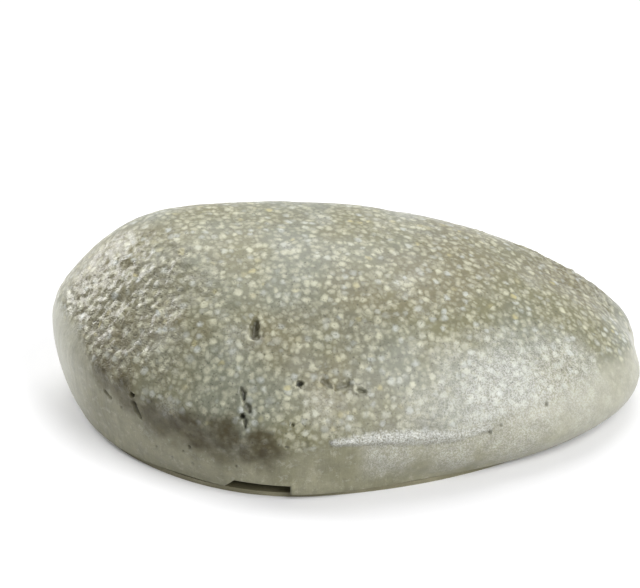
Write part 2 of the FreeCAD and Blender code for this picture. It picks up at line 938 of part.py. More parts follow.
scoop_radius = scoop.addConstraint(Sketcher.Constraint("Radius", 0, scoop_rough_radius))
scoop.setExpression(f"Constraints[{scoop_radius}]", "Sizes.thumb_scoop_radius")
scoop_height = scoop.addConstraint(Sketcher.Constraint("DistanceY", -1, 1, 0, 3, scoop_rough_height))
scoop.setExpression(
    f"Constraints[{scoop_height}]",
    "Sizes.tray_floor + Sizes.tray_depth - Sizes.thumb_scoop_drop + Sizes.thumb_scoop_radius",
)
scoops = pocketed(tray, "tray_scoops", scoop)
scoops.Midplane = True
finished(tray, "key_tray")

liner = body_at("tray_liner", "Sizes.tray_x", "Sizes.tray_y", "Sizes.tray_inside")
liner_outline = sketch_on(liner, "liner_outline", "XY_Plane")
rectangle(
    liner_outline,
    "Sizes.tray_length - 2 * (Sizes.tray_wall + Sizes.liner_gap)",
    "Sizes.tray_width - 2 * (Sizes.tray_wall + Sizes.liner_gap)",
)
liner_sheet = padded(liner, "liner_sheet", liner_outline, "Sizes.liner_thickness")
doc.recompute()
rounded(
    liner,
    "liner_corners",
    liner_sheet,
    upright_edges(liner_sheet),
    "Sizes.tray_corner - Sizes.tray_wall",
)
liner_holes = sketch_on(liner, "liner_holes", "XY_Plane")
circles(
    liner_holes,
    "Sizes.tray_screw_head_radius + Sizes.liner_hole_play",
    [
        (f"{across} * Sizes.tray_screw_x", f"{along} * Sizes.tray_screw_y")
        for across, along in tray_screw_places
    ],
)
pocketed(liner, "liner_screw_holes", liner_holes)
finished(liner, "tray_liner")

for number, (across, along) in enumerate(tray_screw_places, start=1):
    label = f"tray_screw_{number}"
    screw = body_at(
        label,
        f"Sizes.tray_x + {across} * Sizes.tray_screw_x",
        f"Sizes.tray_y + {along} * Sizes.tray_screw_y",
        "Sizes.tray_inside",
    )
    turned(
        screw,
        label,
        [
            (0, "-Sizes.tray_floor - Sizes.tray_screw_bite"),
            ("Sizes.tray_screw_radius", "-Sizes.tray_floor - Sizes.tray_screw_bite"),
            ("Sizes.tray_screw_radius", 0),
            ("Sizes.tray_screw_head_radius", 0),
            ("Sizes.tray_screw_head_radius", "Sizes.tray_screw_head_height"),
            (0, "Sizes.tray_screw_head_height"),
        ],
    )
    drive = sketch_on(
        screw,
        label + "_drive",
        "XY_Plane",
        "Sizes.tray_screw_head_height - Sizes.drive_depth",
    )
    rectangle(drive, "Sizes.drive_across", "Sizes.drive_across")
    pocketed(screw, label + "_socket", drive)
    finished(screw, label)

# ---------------------------------------------------------------- roof pad

pad_line = [above_belly(angle, 1, size("wall"), 0, pad_top) for angle in angles]
pad = slab(
    "roof_pad",
    closed_outline("pad_line", pad_line),
    "Sizes.stone_height - Sizes.roof - Sizes.tray_rim - Sizes.pad_over_tray",
    "Sizes.tray_rim + Sizes.pad_over_tray",
)
finished(pad, "roof_pad")

# ---------------------------------------------------------------- write

doc.recompute()

for thing in doc.Objects:
    bad = [state for state in thing.State if state in ("Invalid", "Error")]
    if bad:
        raise RuntimeError(f"{thing.Name} is {bad}")
for piece in parts:
    if piece.Shape.isNull() or not piece.Shape.isValid():
        raise RuntimeError(f"{piece.Label} has no valid shape")

os.makedirs("parts", exist_ok=True)
for piece in parts:
    piece.Shape.exportStep(f"parts/{piece.Label}.step")
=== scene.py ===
import math

import bmesh
import bpy
import numpy as np
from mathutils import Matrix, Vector, noise
from mathutils.bvhtree import BVHTree
from mathutils.geometry import delaunay_2d_cdt
from mathutils.kdtree import KDTree


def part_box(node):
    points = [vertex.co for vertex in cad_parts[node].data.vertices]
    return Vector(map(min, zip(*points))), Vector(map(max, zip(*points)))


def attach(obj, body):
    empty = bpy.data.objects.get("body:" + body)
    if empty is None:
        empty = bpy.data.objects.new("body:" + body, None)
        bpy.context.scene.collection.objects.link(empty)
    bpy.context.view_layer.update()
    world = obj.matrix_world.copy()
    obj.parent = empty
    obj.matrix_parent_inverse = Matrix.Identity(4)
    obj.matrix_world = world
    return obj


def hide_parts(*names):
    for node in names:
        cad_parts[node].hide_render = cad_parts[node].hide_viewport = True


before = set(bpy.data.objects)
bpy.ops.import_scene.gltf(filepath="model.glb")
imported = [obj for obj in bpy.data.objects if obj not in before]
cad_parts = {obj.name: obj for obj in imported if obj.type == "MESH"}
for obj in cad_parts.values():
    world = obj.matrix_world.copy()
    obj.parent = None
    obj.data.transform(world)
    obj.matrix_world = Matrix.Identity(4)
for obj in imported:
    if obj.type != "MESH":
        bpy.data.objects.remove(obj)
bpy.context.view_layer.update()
mm = 0.001
print("frame loaded:", len(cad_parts), "nodes")

# the stone stands on pale ground, seen from the front and a little above
camera = {
    "target": (-12.66 * mm, 9.95 * mm, 20.0 * mm),
    "azimuth": -5.02,  # degrees
    "elevation": 28.45,
    "distance": 726 * mm,
    "lens": 183.4,
    "shiftX": 0.0457,
    "shiftY": 0.0165,
    "nearest": 0.01,
    "furthest": 20,
}


def aimed(name, data, turn, rise, distance):
    # faces the camera's target from so many degrees round from the front and up
    turn = math.radians(turn)
    rise = math.radians(rise)
    back = Vector((
        math.sin(turn) * math.cos(rise),
        -math.cos(turn) * math.cos(rise),
        math.sin(rise),
    ))
    thing = bpy.data.objects.new(name, data)
    thing.location = Vector(camera["target"]) + back * distance
    thing.rotation_euler = back.to_track_quat("Z", "Y").to_euler()
    bpy.context.collection.objects.link(thing)
    return thing


def makeCamera():
    data = bpy.data.cameras.new("camera")
    data.lens = camera["lens"]
    data.shift_x = camera["shiftX"]
    data.shift_y = camera["shiftY"]
    data.clip_start = camera["nearest"]
    data.clip_end = camera["furthest"]
    bpy.context.scene.camera = aimed(
        "camera", data, camera["azimuth"], camera["elevation"], camera["distance"]
    )


makeCamera()
print("camera placed")


# colours are written as a paint chart gives them, 0 to 255
def chart(red, green, blue):
    def linear(value):
        value /= 255
        return value / 12.92 if value <= 0.04045 else ((value + 0.055) / 1.055) ** 2.4
    return (linear(red), linear(green), linear(blue), 1)


# small helpers for node trees
def addNode(tree, kind, label, **values):
    node = tree.nodes.new(kind)
    node.label = label
    for name, value in values.items():
        setattr(node, name, value)
    return node


def feed(tree, socket, value):
    if isinstance(value, bpy.types.NodeSocket):
        tree.links.new(value, socket)
    else:
        socket.default_value = value


def calc(tree, operation, first, second=0.0, third=0.0):
    node = addNode(tree, "ShaderNodeMath", operation.lower(), operation=operation)
    for socket, value in zip(node.inputs, (first, second, third)):
        feed(tree, socket, value)
    return node.outputs[0]


def times(tree, first, second):
    return calc(tree, "MULTIPLY", first, second)


def larger(tree, first, second):
    return calc(tree, "MAXIMUM", first, second)


def remap(tree, value, low, high, toLow=0.0, toHigh=1.0, curve="SMOOTHSTEP"):
    node = addNode(tree, "ShaderNodeMapRange", "remap", interpolation_type=curve)
    for socket, given in zip(node.inputs, (value, low, high, toLow, toHigh)):
        feed(tree, socket, given)
    return node.outputs[0]


def blendColours(tree, factor, first, second, kind="MIX"):
    node = addNode(tree, "ShaderNodeMix", "blend", data_type="RGBA", blend_type=kind)
    feed(tree, node.inputs[0], factor)
    feed(tree, node.inputs[6], first)
    feed(tree, node.inputs[7], second)
    return node.outputs[2]


def noiseAt(tree, place, scale, detail=2.0, roughness=0.5, label="noise"):
    node = addNode(tree, "ShaderNodeTexNoise", label)
    feed(tree, node.inputs["Vector"], place)
    feed(tree, node.inputs["Scale"], scale)
    feed(tree, node.inputs["Detail"], detail)
    feed(tree, node.inputs["Roughness"], roughness)
    return node.outputs["Fac"]


def stretched(tree, place, scale, turn=(0, 0, 0)):
    node = addNode(tree, "ShaderNodeMapping", "stretch")
    feed(tree, node.inputs["Vector"], place)
    node.inputs["Rotation"].default_value = turn
    node.inputs["Scale"].default_value = scale
    return node.outputs["Vector"]


def measured(tree, name):
    node = addNode(tree, "ShaderNodeAttribute", name, attribute_name=name)
    return node.outputs["Fac"]


def newMaterial(name):
    material = bpy.data.materials.new(name)
    material.use_nodes = True
    tree = material.node_tree
    tree.nodes.clear()
    shader = addNode(tree, "ShaderNodeBsdfPrincipled", "surface")
    output = addNode(tree, "ShaderNodeOutputMaterial", "output")
    tree.links.new(shader.outputs[0], output.inputs["Surface"])
    place = addNode(tree, "ShaderNodeTexCoord", "place")
    millimetres = stretched(tree, place.outputs["Object"], [1 / mm] * 3)
    return material, tree, shader, millimetres


def setPlain(shader, **values):
    # sockets that are the same all over, by their names without spaces
    for socket in shader.inputs:
        if socket.name.replace(" ", "") in values:
            socket.default_value = values[socket.name.replace(" ", "")]


def bumped(tree, shader, height, distance, strength=1.0):
    node = addNode(tree, "ShaderNodeBump", "relief")
    node.inputs["Distance"].default_value = distance
    node.inputs["Strength"].default_value = strength
    feed(tree, node.inputs["Height"], height)
    tree.links.new(node.outputs[0], shader.inputs["Normal"])


def newGroup(name, inputs, outputs):
    # each takes a place in millimetres and plain numbers, and gives plain numbers
    group = bpy.data.node_groups.new(name, "ShaderNodeTree")
    group.interface.new_socket("place", in_out="INPUT", socket_type="NodeSocketVector")
    for label, default in inputs.items():
        socket = group.interface.new_socket(label, in_out="INPUT", socket_type="NodeSocketFloat")
        socket.default_value = default
    for label in outputs:
        group.interface.new_socket(label, in_out="OUTPUT", socket_type="NodeSocketFloat")
    entry = group.nodes.new("NodeGroupInput")
    leave = group.nodes.new("NodeGroupOutput")
    return group, entry.outputs, leave.inputs


def useGroup(tree, group, **values):
    node = addNode(tree, "ShaderNodeGroup", group.name, node_tree=group)
    for name, value in values.items():
        feed(tree, node.inputs[name], value)
    return node.outputs


# soft-edged round cells, such as mineral grains or foam pores, each of its own size and strength
softCells = {
    "wobbleScale": 0.55,
    "wobbleReach": 6.0,
    "scatter": 0.85,
    "smallest": 0.7,
    "largest": 1.25,
    "nibbleScale": 2.0,
    "nibble": 0.26,
    "weakest": 0.35,
}


def makeCellsGroup():
    group, given, out = newGroup(
        "softCells",
        {"size": 2.0, "reach": 0.4, "softness": 0.1, "waviness": 0.3},
        ["mask", "chance"],
    )
    wobble = addNode(group, "ShaderNodeTexNoise", "wobble")
    feed(group, wobble.inputs["Vector"], given["place"])
    wobble.inputs["Scale"].default_value = softCells["wobbleScale"]
    wobble.inputs["Detail"].default_value = 1.0
    centred = addNode(group, "ShaderNodeVectorMath", "centred", operation="SUBTRACT")
    feed(group, centred.inputs[0], wobble.outputs["Color"])
    centred.inputs[1].default_value = (0.5, 0.5, 0.5)
    scaled = addNode(group, "ShaderNodeVectorMath", "scaled", operation="SCALE")
    feed(group, scaled.inputs[0], centred.outputs[0])
    feed(group, scaled.inputs["Scale"], times(group, given["waviness"], softCells["wobbleReach"]))
    moved = addNode(group, "ShaderNodeVectorMath", "moved", operation="ADD")
    feed(group, moved.inputs[0], given["place"])
    feed(group, moved.inputs[1], scaled.outputs[0])
    cells = addNode(group, "ShaderNodeTexVoronoi", "cells")
    feed(group, cells.inputs["Vector"], moved.outputs[0])
    feed(group, cells.inputs["Scale"], calc(group, "DIVIDE", 1.0, given["size"]))
    cells.inputs["Randomness"].default_value = softCells["scatter"]
    split = addNode(group, "ShaderNodeSeparateColor", "chances")
    feed(group, split.inputs[0], cells.outputs["Color"])
    ownSize = remap(
        group, split.outputs[0], 0, 1, softCells["smallest"], softCells["largest"], "LINEAR"
    )
    ownReach = times(group, given["reach"], ownSize)
    nibbled = noiseAt(group, given["place"], softCells["nibbleScale"], 1.0, 0.5, "nibbled edges")
    nibbled = calc(group, "SUBTRACT", nibbled, 0.5)
    shape = remap(
        group,
        calc(group, "MULTIPLY_ADD", nibbled, softCells["nibble"], cells.outputs["Distance"]),
        calc(group, "ADD", ownReach, given["softness"]),
        calc(group, "SUBTRACT", ownReach, given["softness"]),
    )
    strength = remap(group, split.outputs[1], 0, 1, softCells["weakest"], 1.0, "LINEAR")
    feed(group, out["mask"], times(group, shape, strength))
    feed(group, out["chance"], split.outputs[2])
    return group


# fine tooth of a cast or moulded surface: a height and a slight change of tone
def makeToothGroup():
    group, given, out = newGroup("surfaceTooth", {"coarse": 0.5, "fine": 3.0}, ["height", "tone"])
    broad = noiseAt(group, given["place"], given["coarse"], 3.0, 0.55, "broad")
    close = noiseAt(group, given["place"], given["fine"], 4.0, 0.65, "close")
    feed(group, out["height"], calc(group, "MULTIPLY_ADD", close, 0.35, broad))
    centred = calc(group, "SUBTRACT", close, 0.5)
    feed(group, out["tone"], calc(group, "MULTIPLY_ADD", centred, 0.6, broad))
    return group


# drawn or rolled metal: fine lines one way, and broad smudges
def makeBrushedGroup():
    group, given, out = newGroup("brushedMetal", {"fineness": 6.0}, ["lines", "smudges"])
    drawn = stretched(group, given["place"], (0.04, 1, 1))
    feed(group, out["lines"], noiseAt(group, drawn, given["fineness"], 3.0, 0.7, "lines"))
    feed(group, out["smudges"], noiseAt(group, given["place"], 0.3, 3.0, 0.6, "smudges"))
    return group


cellsGroup = makeCellsGroup()
toothGroup = makeToothGroup()
brushedGroup = makeBrushedGroup()
print("shader groups built")

# the cast stone: its mesh, its marks and its finish
rockShell = {
    "spacing": 0.54 * mm,  # between the points of the skin
    "fineSpacing": 0.28 * mm,  # and round the marks
    "fineReach": 0.6 * mm,
    "fineStep": 0.8 * mm,
    "rimShare": 0.6,  # of the spacing, kept free along the rim
    "finestWidth": 2.0,  # a wider mark needs no fine points
    "sharpEdge": 25,  # degrees, where the skin ends
    "flatFoot": -0.96,  # a face whose normal is lower is under the foot
    "flatRim": -0.998,  # and one lower than this is the flat rim itself
    "sharpShading": 42,  # degrees
    # the skin is laid out from here, along lines that run down from the crown
    "middle": (-12 * mm, 8 * mm, 6 * mm),
    "meridians": 360,
    "meridianSteps": 220,
    "lowestRay": 104,  # degrees from straight up
    # rounds of evening out, each a pull to the neighbours' middle or a push back
    "smoothing": 26,
    "pull": 0.6,
    "push": -0.55,
    "edgeFade": 1.6 * mm,  # the relief fades out this near the rim
    "station": (-12.7, 10.0),  # widest place of the outline
    # the plain band's height, by degrees round the station from the tapered end
    "bandHeights": [
        (0, 11), (9, 11), (15, 8), (20, 6), (60, 6), (95, 8), (110, 15), (130, 19), (155, 22),
        (180, 25), (197, 25), (211, 19), (228, 16), (242, 13.5), (255, 10), (268, 12),
        (280, 13), (303, 13.5), (319, 15), (340, 15), (352, 11),
    ],
    # how the band's edge drifts and frays, and how softly it blends
    "bandDrift": 1.3 * mm,
    "bandFray": 0.6 * mm,
    "bandBlend": 3.2 * mm,
    # heights and lengths of the relief, in millimetres
    "bandStep": 0.2,
    "shoulder": 0.12,
    "swell": 0.22,
    "swellLength": 15.0,
    "ripple": 0.07,
    "rippleLength": 4.5,
    "wrinkleDepth": 0.58,
    "furrowLength": 4.0,
    "pebbleLength": 1.6,
    "burr": 0.12,
    "burrFrom": 0.6,  # a deeper hole has a burr round it
    "raggedHole": 0.45,
    "raggedRidge": 0.25,
}


# a mark cast into the skin, in millimetres: the line that it follows, its half
# width along that line, and its depth, or its height where that is negative
# dark is the depth at which the dirt and painted shade in its bottom are darkest, and pale is how
# chalky it is and how much highlight is painted on it
def cast(line, widths, depth, dark=1.5, pale=0):
    return {"line": line, "widths": widths, "depth": depth, "dark": dark, "pale": pale}


marks = [
    # the deep oval pit and its raised rim
    cast([(-23, -22, 33.5), (-23.5, -24.5, 32)], [1.1, 1.7], 1.5, dark=2.4),
    # the crescent, the bulb and the tail below it
    cast([(-27, -33, 24), (-26.5, -33.5, 23), (-26.5, -34.5, 22)], [0.4, 0.8, 0.6], 1.1),
    cast([(-26, -35.5, 21), (-25.5, -36, 20)], [1.2, 0.9], 0.9),
    cast([(-27, -36.5, 19), (-27, -36.5, 19)], [0.8, 0.7], 1.7),
    cast([(-26.5, -37, 18.5), (-26.5, -37.5, 17)], [0.7, 0.3], 0.9),
    # round holes and pinholes
    cast([(-14.5, -33, 24.5)], [0.85], 1.6),
    cast([(-49.5, -23.5, 18)], [0.8], 1.6),
    cast([(-38, -32, 9.5)], [0.5], 0.7),
    cast([(-39.5, -31.5, 8)], [0.4], 0.5),
    cast([(-37.5, -32.5, 5.5)], [0.35], 0.5),
    cast([(-45, -27.5, 7)], [0.35], 0.5),
    cast([(-42, -30, 5.5)], [0.35], 0.4),
    cast([(-28.5, -37, 7)], [0.4], 0.5),
    cast([(-52, -21, 13.5)], [0.45], 0.6),
    cast([(-55, -17, 15.5), (-54, -18.5, 14.5)], [0.4, 0.6], 0.6),
    cast([(-16.5, -38.5, 17.5)], [0.5], 0.8),
    cast([(-18, -40, 13)], [0.5], 0.7),
    cast([(39, -28.5, 14)], [0.5], 0.7),
    cast([(26, -35, 11.5)], [0.5], 0.7),
    cast([(28.5, -34, 12.5)], [0.4], 0.5),
    # the rough patch in front, a scratch and a short crack
    cast([(-9.5, -32.5, 24.5), (-8.5, -33, 23.5)], [1.1, 1.0], 0.6, dark=1.6),
    cast([(-6.5, -33.5, 23.5), (-4.5, -33, 23.5)], [1.0, 1.3], 0.7, dark=1.6),
    cast([(-2, -33.5, 22.5), (-1, -33.5, 22)], [0.8, 0.6], 0.7),
    cast([(43, -24.5, 16), (44.5, -26.5, 13)], [0.4, 0.3], 0.4),
    cast([(-49.5, -24, 16), (-49, -24.5, 14.5), (-48, -25, 13)], [0.7, 0.6, 0.4], 0.8),
    # the worn ledge over the band, painted pale as its highlight, and a shiny bump at its end
    cast([(-8, -39.5, 13.5), (0, -39, 13.5), (8, -38.5, 13), (18, -37, 12), (26, -34.5, 12.5)],
         [0.9, 1.7, 2.0, 1.7, 0.9], -0.85, pale=1.6),
    cast([(-12.5, -40, 14)], [1.7], -0.55),
    # the long lipped dent near the tapered end, on the hinge side, its lip painted pale, partly chalk
    # and partly painted highlight
    cast([(53, 27.5, 13.5), (50, 28, 15.5), (46.5, 28.5, 17), (42, 29.5, 19)],
         [1.4, 2.6, 3.8, 3.2], 3.2, dark=3.4),
    cast([(54, 28, 11.5), (51, 30.5, 12), (46.5, 32.5, 12), (42.5, 33, 13), (39.5, 32, 17),
          (36.5, 31, 20)],
         [1.1, 1.6, 2.1, 2.3, 2.0, 1.1], -1.4, pale=0.6),
    # shallow furrows above the dent
    cast([(59, 9.5, 16.5), (53, 9, 21), (46.5, 6.5, 25)], [1.4, 1.9, 1.2], 0.25, dark=2.5),
    cast([(57, 15, 17), (50, 14.5, 22.5), (43, 13, 27.5)], [1.3, 1.9, 1.2], 0.3, dark=2.5),
    cast([(54, 20, 19), (47, 20, 24), (39, 17.5, 28.5)], [1.3, 1.9, 1.2], 0.45, dark=2.5),
    cast([(49, 15.5, 23.5), (48, 16.5, 24)], [1.1, 1.0], 1.1),
    cast([(45.5, 17.5, 25.5), (44, 18.5, 26)], [1.0, 1.2], 1.0),
    cast([(31, 22.5, 30.5)], [0.9], 0.9),
    cast([(64, 8.5, 11), (64, 9, 10)], [0.5, 0.4], 0.8),
    cast([(53, 30, 6)], [0.9], 0.6),
    # the hollow behind, the ridge beside it, and the fold with its crevice
    cast([(0.5, 33.5, 27), (-3.5, 37.5, 18.5), (-4.5, 39.5, 13)], [6.0, 6.6, 4.0], 1.0, dark=6.0),
    cast([(-11, 33.5, 28), (-10, 37.5, 21), (-10.5, 39.5, 12.5)], [2.4, 3.0, 2.8], -0.7),
    cast([(-24, 32, 31), (-16.5, 36, 24.5), (-15, 38.5, 18.5), (-17.5, 40, 13), (-23, 39, 9)],
         [2.5, 4.0, 4.4, 4.0, 3.0], 1.1, dark=3.5),
    cast([(-28, 29.5, 33.5), (-25, 31.5, 31.5)], [0.5, 0.9], 0.7),
    cast([(-23, 32.5, 30), (-19, 34.5, 27.5), (-16.5, 35.5, 25.5)], [0.8, 1.1, 0.7], 1.0),
    cast([(-15.5, 36, 24), (-14, 37.5, 21.5), (-14, 39, 18.5), (-15, 39.5, 16)],
         [1.1, 1.8, 1.9, 1.3], 2.0),
    cast([(-15.5, 39.5, 15.5), (-18, 40, 12), (-21, 39.5, 10)], [1.4, 1.9, 1.1], 2.0),
    cast([(-21.5, 39.5, 9.5), (-23, 39, 8.5), (-25, 38.5, 6.5)], [1.3, 1.7, 1.2], 1.9),
    # the row of pores beside it
    cast([(-32.5, 37, 23), (-31, 37.5, 22.5)], [0.7, 0.9], 0.9),
    cast([(-29, 38, 21.5), (-28, 38, 21)], [1.3, 1.0], 1.4),
    cast([(-27, 38.5, 20), (-26, 38.5, 19)], [1.0, 1.3], 1.3),
    cast([(-24.5, 39, 18), (-23, 39.5, 17)], [0.9, 1.1], 1.2),
    cast([(-22.5, 39.5, 16), (-22.5, 40, 14)], [0.9, 0.6], 0.9),
    cast([(-19.5, 40, 11.5), (-19, 40, 12.5)], [0.7, 0.7], 1.1),
    cast([(-24, 39.5, 11.5), (-23.5, 39.5, 12)], [0.8, 0.6], 0.9),
    # a light streak over the top and a nick low at the blunt end
    cast([(7.5, 20, 38), (14.5, 24, 35)], [0.8, 1.0], 0.3),
    cast([(-52.5, 30, 10), (-56.5, 26.5, 7.5)], [1.2, 1.5], 0.7),
    cast([(-37, 36.5, 8)], [0.5], 0.7),
]

# finely wrinkled places: middle and reach in millimetres, and strength
wrinkledPlaces = [
    ((-51.0, -9.0, 30.0), 27.0, 1.0),
    ((50.0, 15.0, 21.0), 18.0, 0.6),
    ((8.0, 34.0, 24.0), 14.0, 0.55),
    ((-20.0, 38.0, 17.0), 11.0, 0.5),
]

# dark stains with painted shade, and pale bloom with painted sheen, in the finish: middle and reach
# in millimetres, and strength
stainAndShadePlaces = [
    ((-24.0, -38.5, 12.0), 7.5, 1.0),
    ((-31.0, -36.0, 13.5), 8.0, 1.0),
    ((-38.0, -32.5, 14.0), 8.0, 1.0),
    ((-45.0, -27.5, 15.0), 6.5, 0.9),
    ((-51.0, -22.0, 17.0), 6.0, 0.85),
    ((-56.0, -17.0, 19.0), 5.0, 0.7),
    ((4.0, -38.0, 15.0), 4.0, 0.35),
    ((13.0, -36.5, 14.5), 4.0, 0.35),
    ((-15.0, 38.0, 15.0), 6.0, 0.7),
    ((47.0, 31.0, 12.0), 10.0, 0.85),
]
# pale places, partly a chalky bloom and partly painted sheen: the broad highlight low on the front
# right, the glints below the ledge, and the sheen behind
bloomAndSheenPlaces = [
    ((30.0, -30.0, 16.0), 20.0, 1.0),
    ((42.0, -22.0, 16.0), 16.0, 0.8),
    ((14.0, -35.0, 17.0), 11.0, 0.4),
    ((4.0, -39.5, 9.5), 8.5, 1.0),
    ((18.0, -37.0, 8.5), 8.5, 1.0),
    ((4.0, 36.0, 20.0), 9.0, 0.7),
    ((-44.0, 31.0, 28.0), 17.0, 0.6),
]


def mergedCopy(node):
    # a CAD node's loose triangles, joined
    bm = bmesh.new()
    bm.from_mesh(bpy.data.objects[node].data)
    bmesh.ops.remove_doubles(bm, verts=bm.verts, dist=1e-7)
    return bm


def nearTree(points):
    tree = KDTree(len(points))
    for number, point in enumerate(points):
        tree.insert(point, number)
    tree.balance()
    return tree


def outerSkin(bm):
    # everything that can be reached from the crown without crossing a sharp edge
    crown = max(bm.faces, key=lambda face: face.calc_center_median().z)
    limit = math.radians(rockShell["sharpEdge"])
    skin = {crown}
    waiting = [crown]
    while waiting:
        for edge in waiting.pop().edges:
            if edge.calc_face_angle() > limit:
                continue
            for face in edge.link_faces:
                if face not in skin and face.normal.z > rockShell["flatFoot"]:
                    skin.add(face)
                    waiting.append(face)
    return skin


def openLoop(bm):
    edges = [edge for edge in bm.edges if edge.is_boundary]
    first = edges[0].verts[0]
    loop = [first]
    before, here = first, edges[0].verts[1]
    while here is not first:
        loop.append(here)
        onward = [edge.other_vert(here) for edge in here.link_edges if edge.is_boundary]
        before, here = here, [vert for vert in onward if vert is not before][0]
    return loop


class Unrolling:
    # lays the skin out flat, by direction and by length along its meridians
    def __init__(self, tree):
        self.tree = tree
        self.middle = Vector(rockShell["middle"])
        self.count = rockShell["meridians"]
        self.falls = np.linspace(0, math.radians(rockShell["lowestRay"]), rockShell["meridianSteps"])
        rows = []
        for number in range(self.count):
            turn = 2 * math.pi * number / self.count
            hits = []
            for fall in self.falls:
                hit = tree.ray_cast(self.middle, self.heading(turn, fall))[0]
                if hit is None:
                    break
                hits.append(hit)
            steps = np.linalg.norm(np.diff(np.array(hits), axis=0), axis=1)
            missing = len(self.falls) - 1 - len(steps)
            steps = np.append(steps, np.full(missing, np.median(steps)))
            rows.append(np.append(0, np.cumsum(steps)))
        self.lengths = np.array(rows + rows[:1])

    def heading(self, turn, fall):
        out = math.sin(fall)
        return Vector((math.cos(turn) * out, math.sin(turn) * out, math.cos(fall)))

    def row(self, turn):
        at = turn / (2 * math.pi) * self.count
        low = min(int(at), self.count - 1)
        return self.lengths[low] * (low + 1 - at) + self.lengths[low + 1] * (at - low)

    def flat(self, point):
        out = (Vector(point) - self.middle).normalized()
        turn = math.atan2(out.y, out.x) % (2 * math.pi)
        length = np.interp(math.acos(out.z), self.falls, self.row(turn))
        return length * math.cos(turn), length * math.sin(turn)

    def onSkin(self, x, y):
        turn = math.atan2(y, x) % (2 * math.pi)
        row = self.row(turn)
        length = math.hypot(x, y)
        if length > row[-1]:
            return None
        fall = np.interp(length, row, self.falls)
        return self.tree.ray_cast(self.middle, self.heading(turn, fall))[0]


def markPoints(mark, step):
    # points close together along a mark's line, with its half width at each
    line = [Vector(point) * mm for point in mark["line"]]
    widths = [width * mm for width in mark["widths"]]
    points = [(line[0], widths[0])]
    for start, end, widthA, widthB in zip(line, line[1:], widths, widths[1:]):
        count = max(1, round((end - start).length / step))
        for number in range(1, count + 1):
            share = number / count
            points.append((start.lerp(end, share), widthA + (widthB - widthA) * share))
    return points


def lattice(extent, spacing, middle=(0, 0)):
    rise = spacing * math.sqrt(3) / 2
    rows = int(extent / rise)
    across = int(extent / spacing)
    for row in range(-rows, rows + 1):
        shift = spacing / 2 if row % 2 else 0
        for column in range(-across, across + 1):
            yield middle[0] + column * spacing + shift, middle[1] + row * rise


def splitRim(bm):
    # the open edge is split till none of its edges is longer than the skin's spacing
    while True:
        tooLong = [
            edge for edge in bm.edges
            if edge.is_boundary and edge.calc_length() > rockShell["spacing"]
        ]
        if not tooLong:
            break
        bmesh.ops.subdivide_edges(bm, edges=tooLong, cuts=1)
    bmesh.ops.triangulate(bm, faces=[face for face in bm.faces if len(face.verts) > 3])


def findFineSpots(tree):
    # places along the narrow marks, and how far round them fine points are needed
    spots = []
    for mark in marks:
        if max(mark["widths"]) > rockShell["finestWidth"]:
            continue
        for point, width in markPoints(mark, rockShell["fineStep"]):
            spots.append((tree.find_nearest(point)[0], width + rockShell["fineReach"]))
    return spots


def layPoints(unrolling, loop, rim, fineSpots):
    # an even lattice over the skin, then a finer one round the narrow marks
    rimTree = nearTree([vert.co for vert in loop])
    spotTree = nearTree([spot for spot, _ in fineSpots])
    widest = max(reach for _, reach in fineSpots)
    spacing = rockShell["spacing"]
    fineSpacing = rockShell["fineSpacing"]
    rimClearance = rockShell["rimShare"] * spacing
    flatPoints = []
    places = []

    def addPoint(x, y, fine):
        point = unrolling.onSkin(x, y)
        if point is None or rimTree.find(point)[2] < rimClearance:
            return
        inFine = any(
            distance < fineSpots[number][1]
            for _, number, distance in spotTree.find_range(point, widest)
        )
        if inFine == fine:
            flatPoints.append((x, y))
            places.append(point)

    for x, y in lattice(max(math.hypot(*place) for place in rim) + spacing, spacing):
        addPoint(x, y, False)
    seen = set()
    for spot, reach in fineSpots:
        middle = unrolling.flat(spot)
        steps = round(middle[0] / fineSpacing), round(middle[1] / (fineSpacing * math.sqrt(3)))
        corner = steps[0] * fineSpacing, steps[1] * fineSpacing * math.sqrt(3)
        for x, y in lattice(reach * 1.5, fineSpacing, corner):
            key = round(x / fineSpacing * 2), round(y / fineSpacing * 2)
            if key not in seen:
                seen.add(key)
                addPoint(x, y, True)
    return flatPoints, places


def makeSkinMesh():
    bm = mergedCopy("rock_shell")
    skin = outerSkin(bm)
    bm.verts.index_update()
    corners = [vert.co.copy() for vert in bm.verts]
    tree = BVHTree.FromPolygons(corners, [[vert.index for vert in face.verts] for face in skin])
    bmesh.ops.delete(bm, geom=list(skin), context="FACES")
    splitRim(bm)
    loop = openLoop(bm)
    inside = len(bm.verts)

    unrolling = Unrolling(tree)
    rim = [unrolling.flat(vert.co) for vert in loop]
    flatPoints, places = layPoints(unrolling, loop, rim, findFineSpots(tree))
    drawn = [Vector(place) for place in rim + flatPoints]
    outcome = delaunay_2d_cdt(drawn, [], [list(range(len(rim)))], 1, 1e-9)
    source = [origin[0] for origin in outcome[3]]
    verts = loop + [bm.verts.new(place) for place in places]
    for triangle in outcome[2]:
        bm.faces.new([verts[source[corner]] for corner in triangle])
    bmesh.ops.recalc_face_normals(bm, faces=bm.faces)
    bm.verts.index_update()
    skinIndices = [vert.index for vert in verts]
    mesh = bpy.data.meshes.new("rockShell")
    bm.to_mesh(mesh)
    bm.free()
    print("skin laid out:", len(mesh.polygons), "triangles,", inside, "points inside")
    return mesh, np.array(skinIndices), len(loop), tree


def smoothStep(low, high, value):
    share = np.clip((value - low) / (high - low), 0, 1)
    return share * share * (3 - 2 * share)


def hump(value, middle, width):
    return np.exp(-((value - middle) / width) ** 2)


def readVectors(collection, name):
    flat = np.zeros(len(collection) * 3)
    collection.foreach_get(name, flat)
    return flat.reshape(-1, 3)


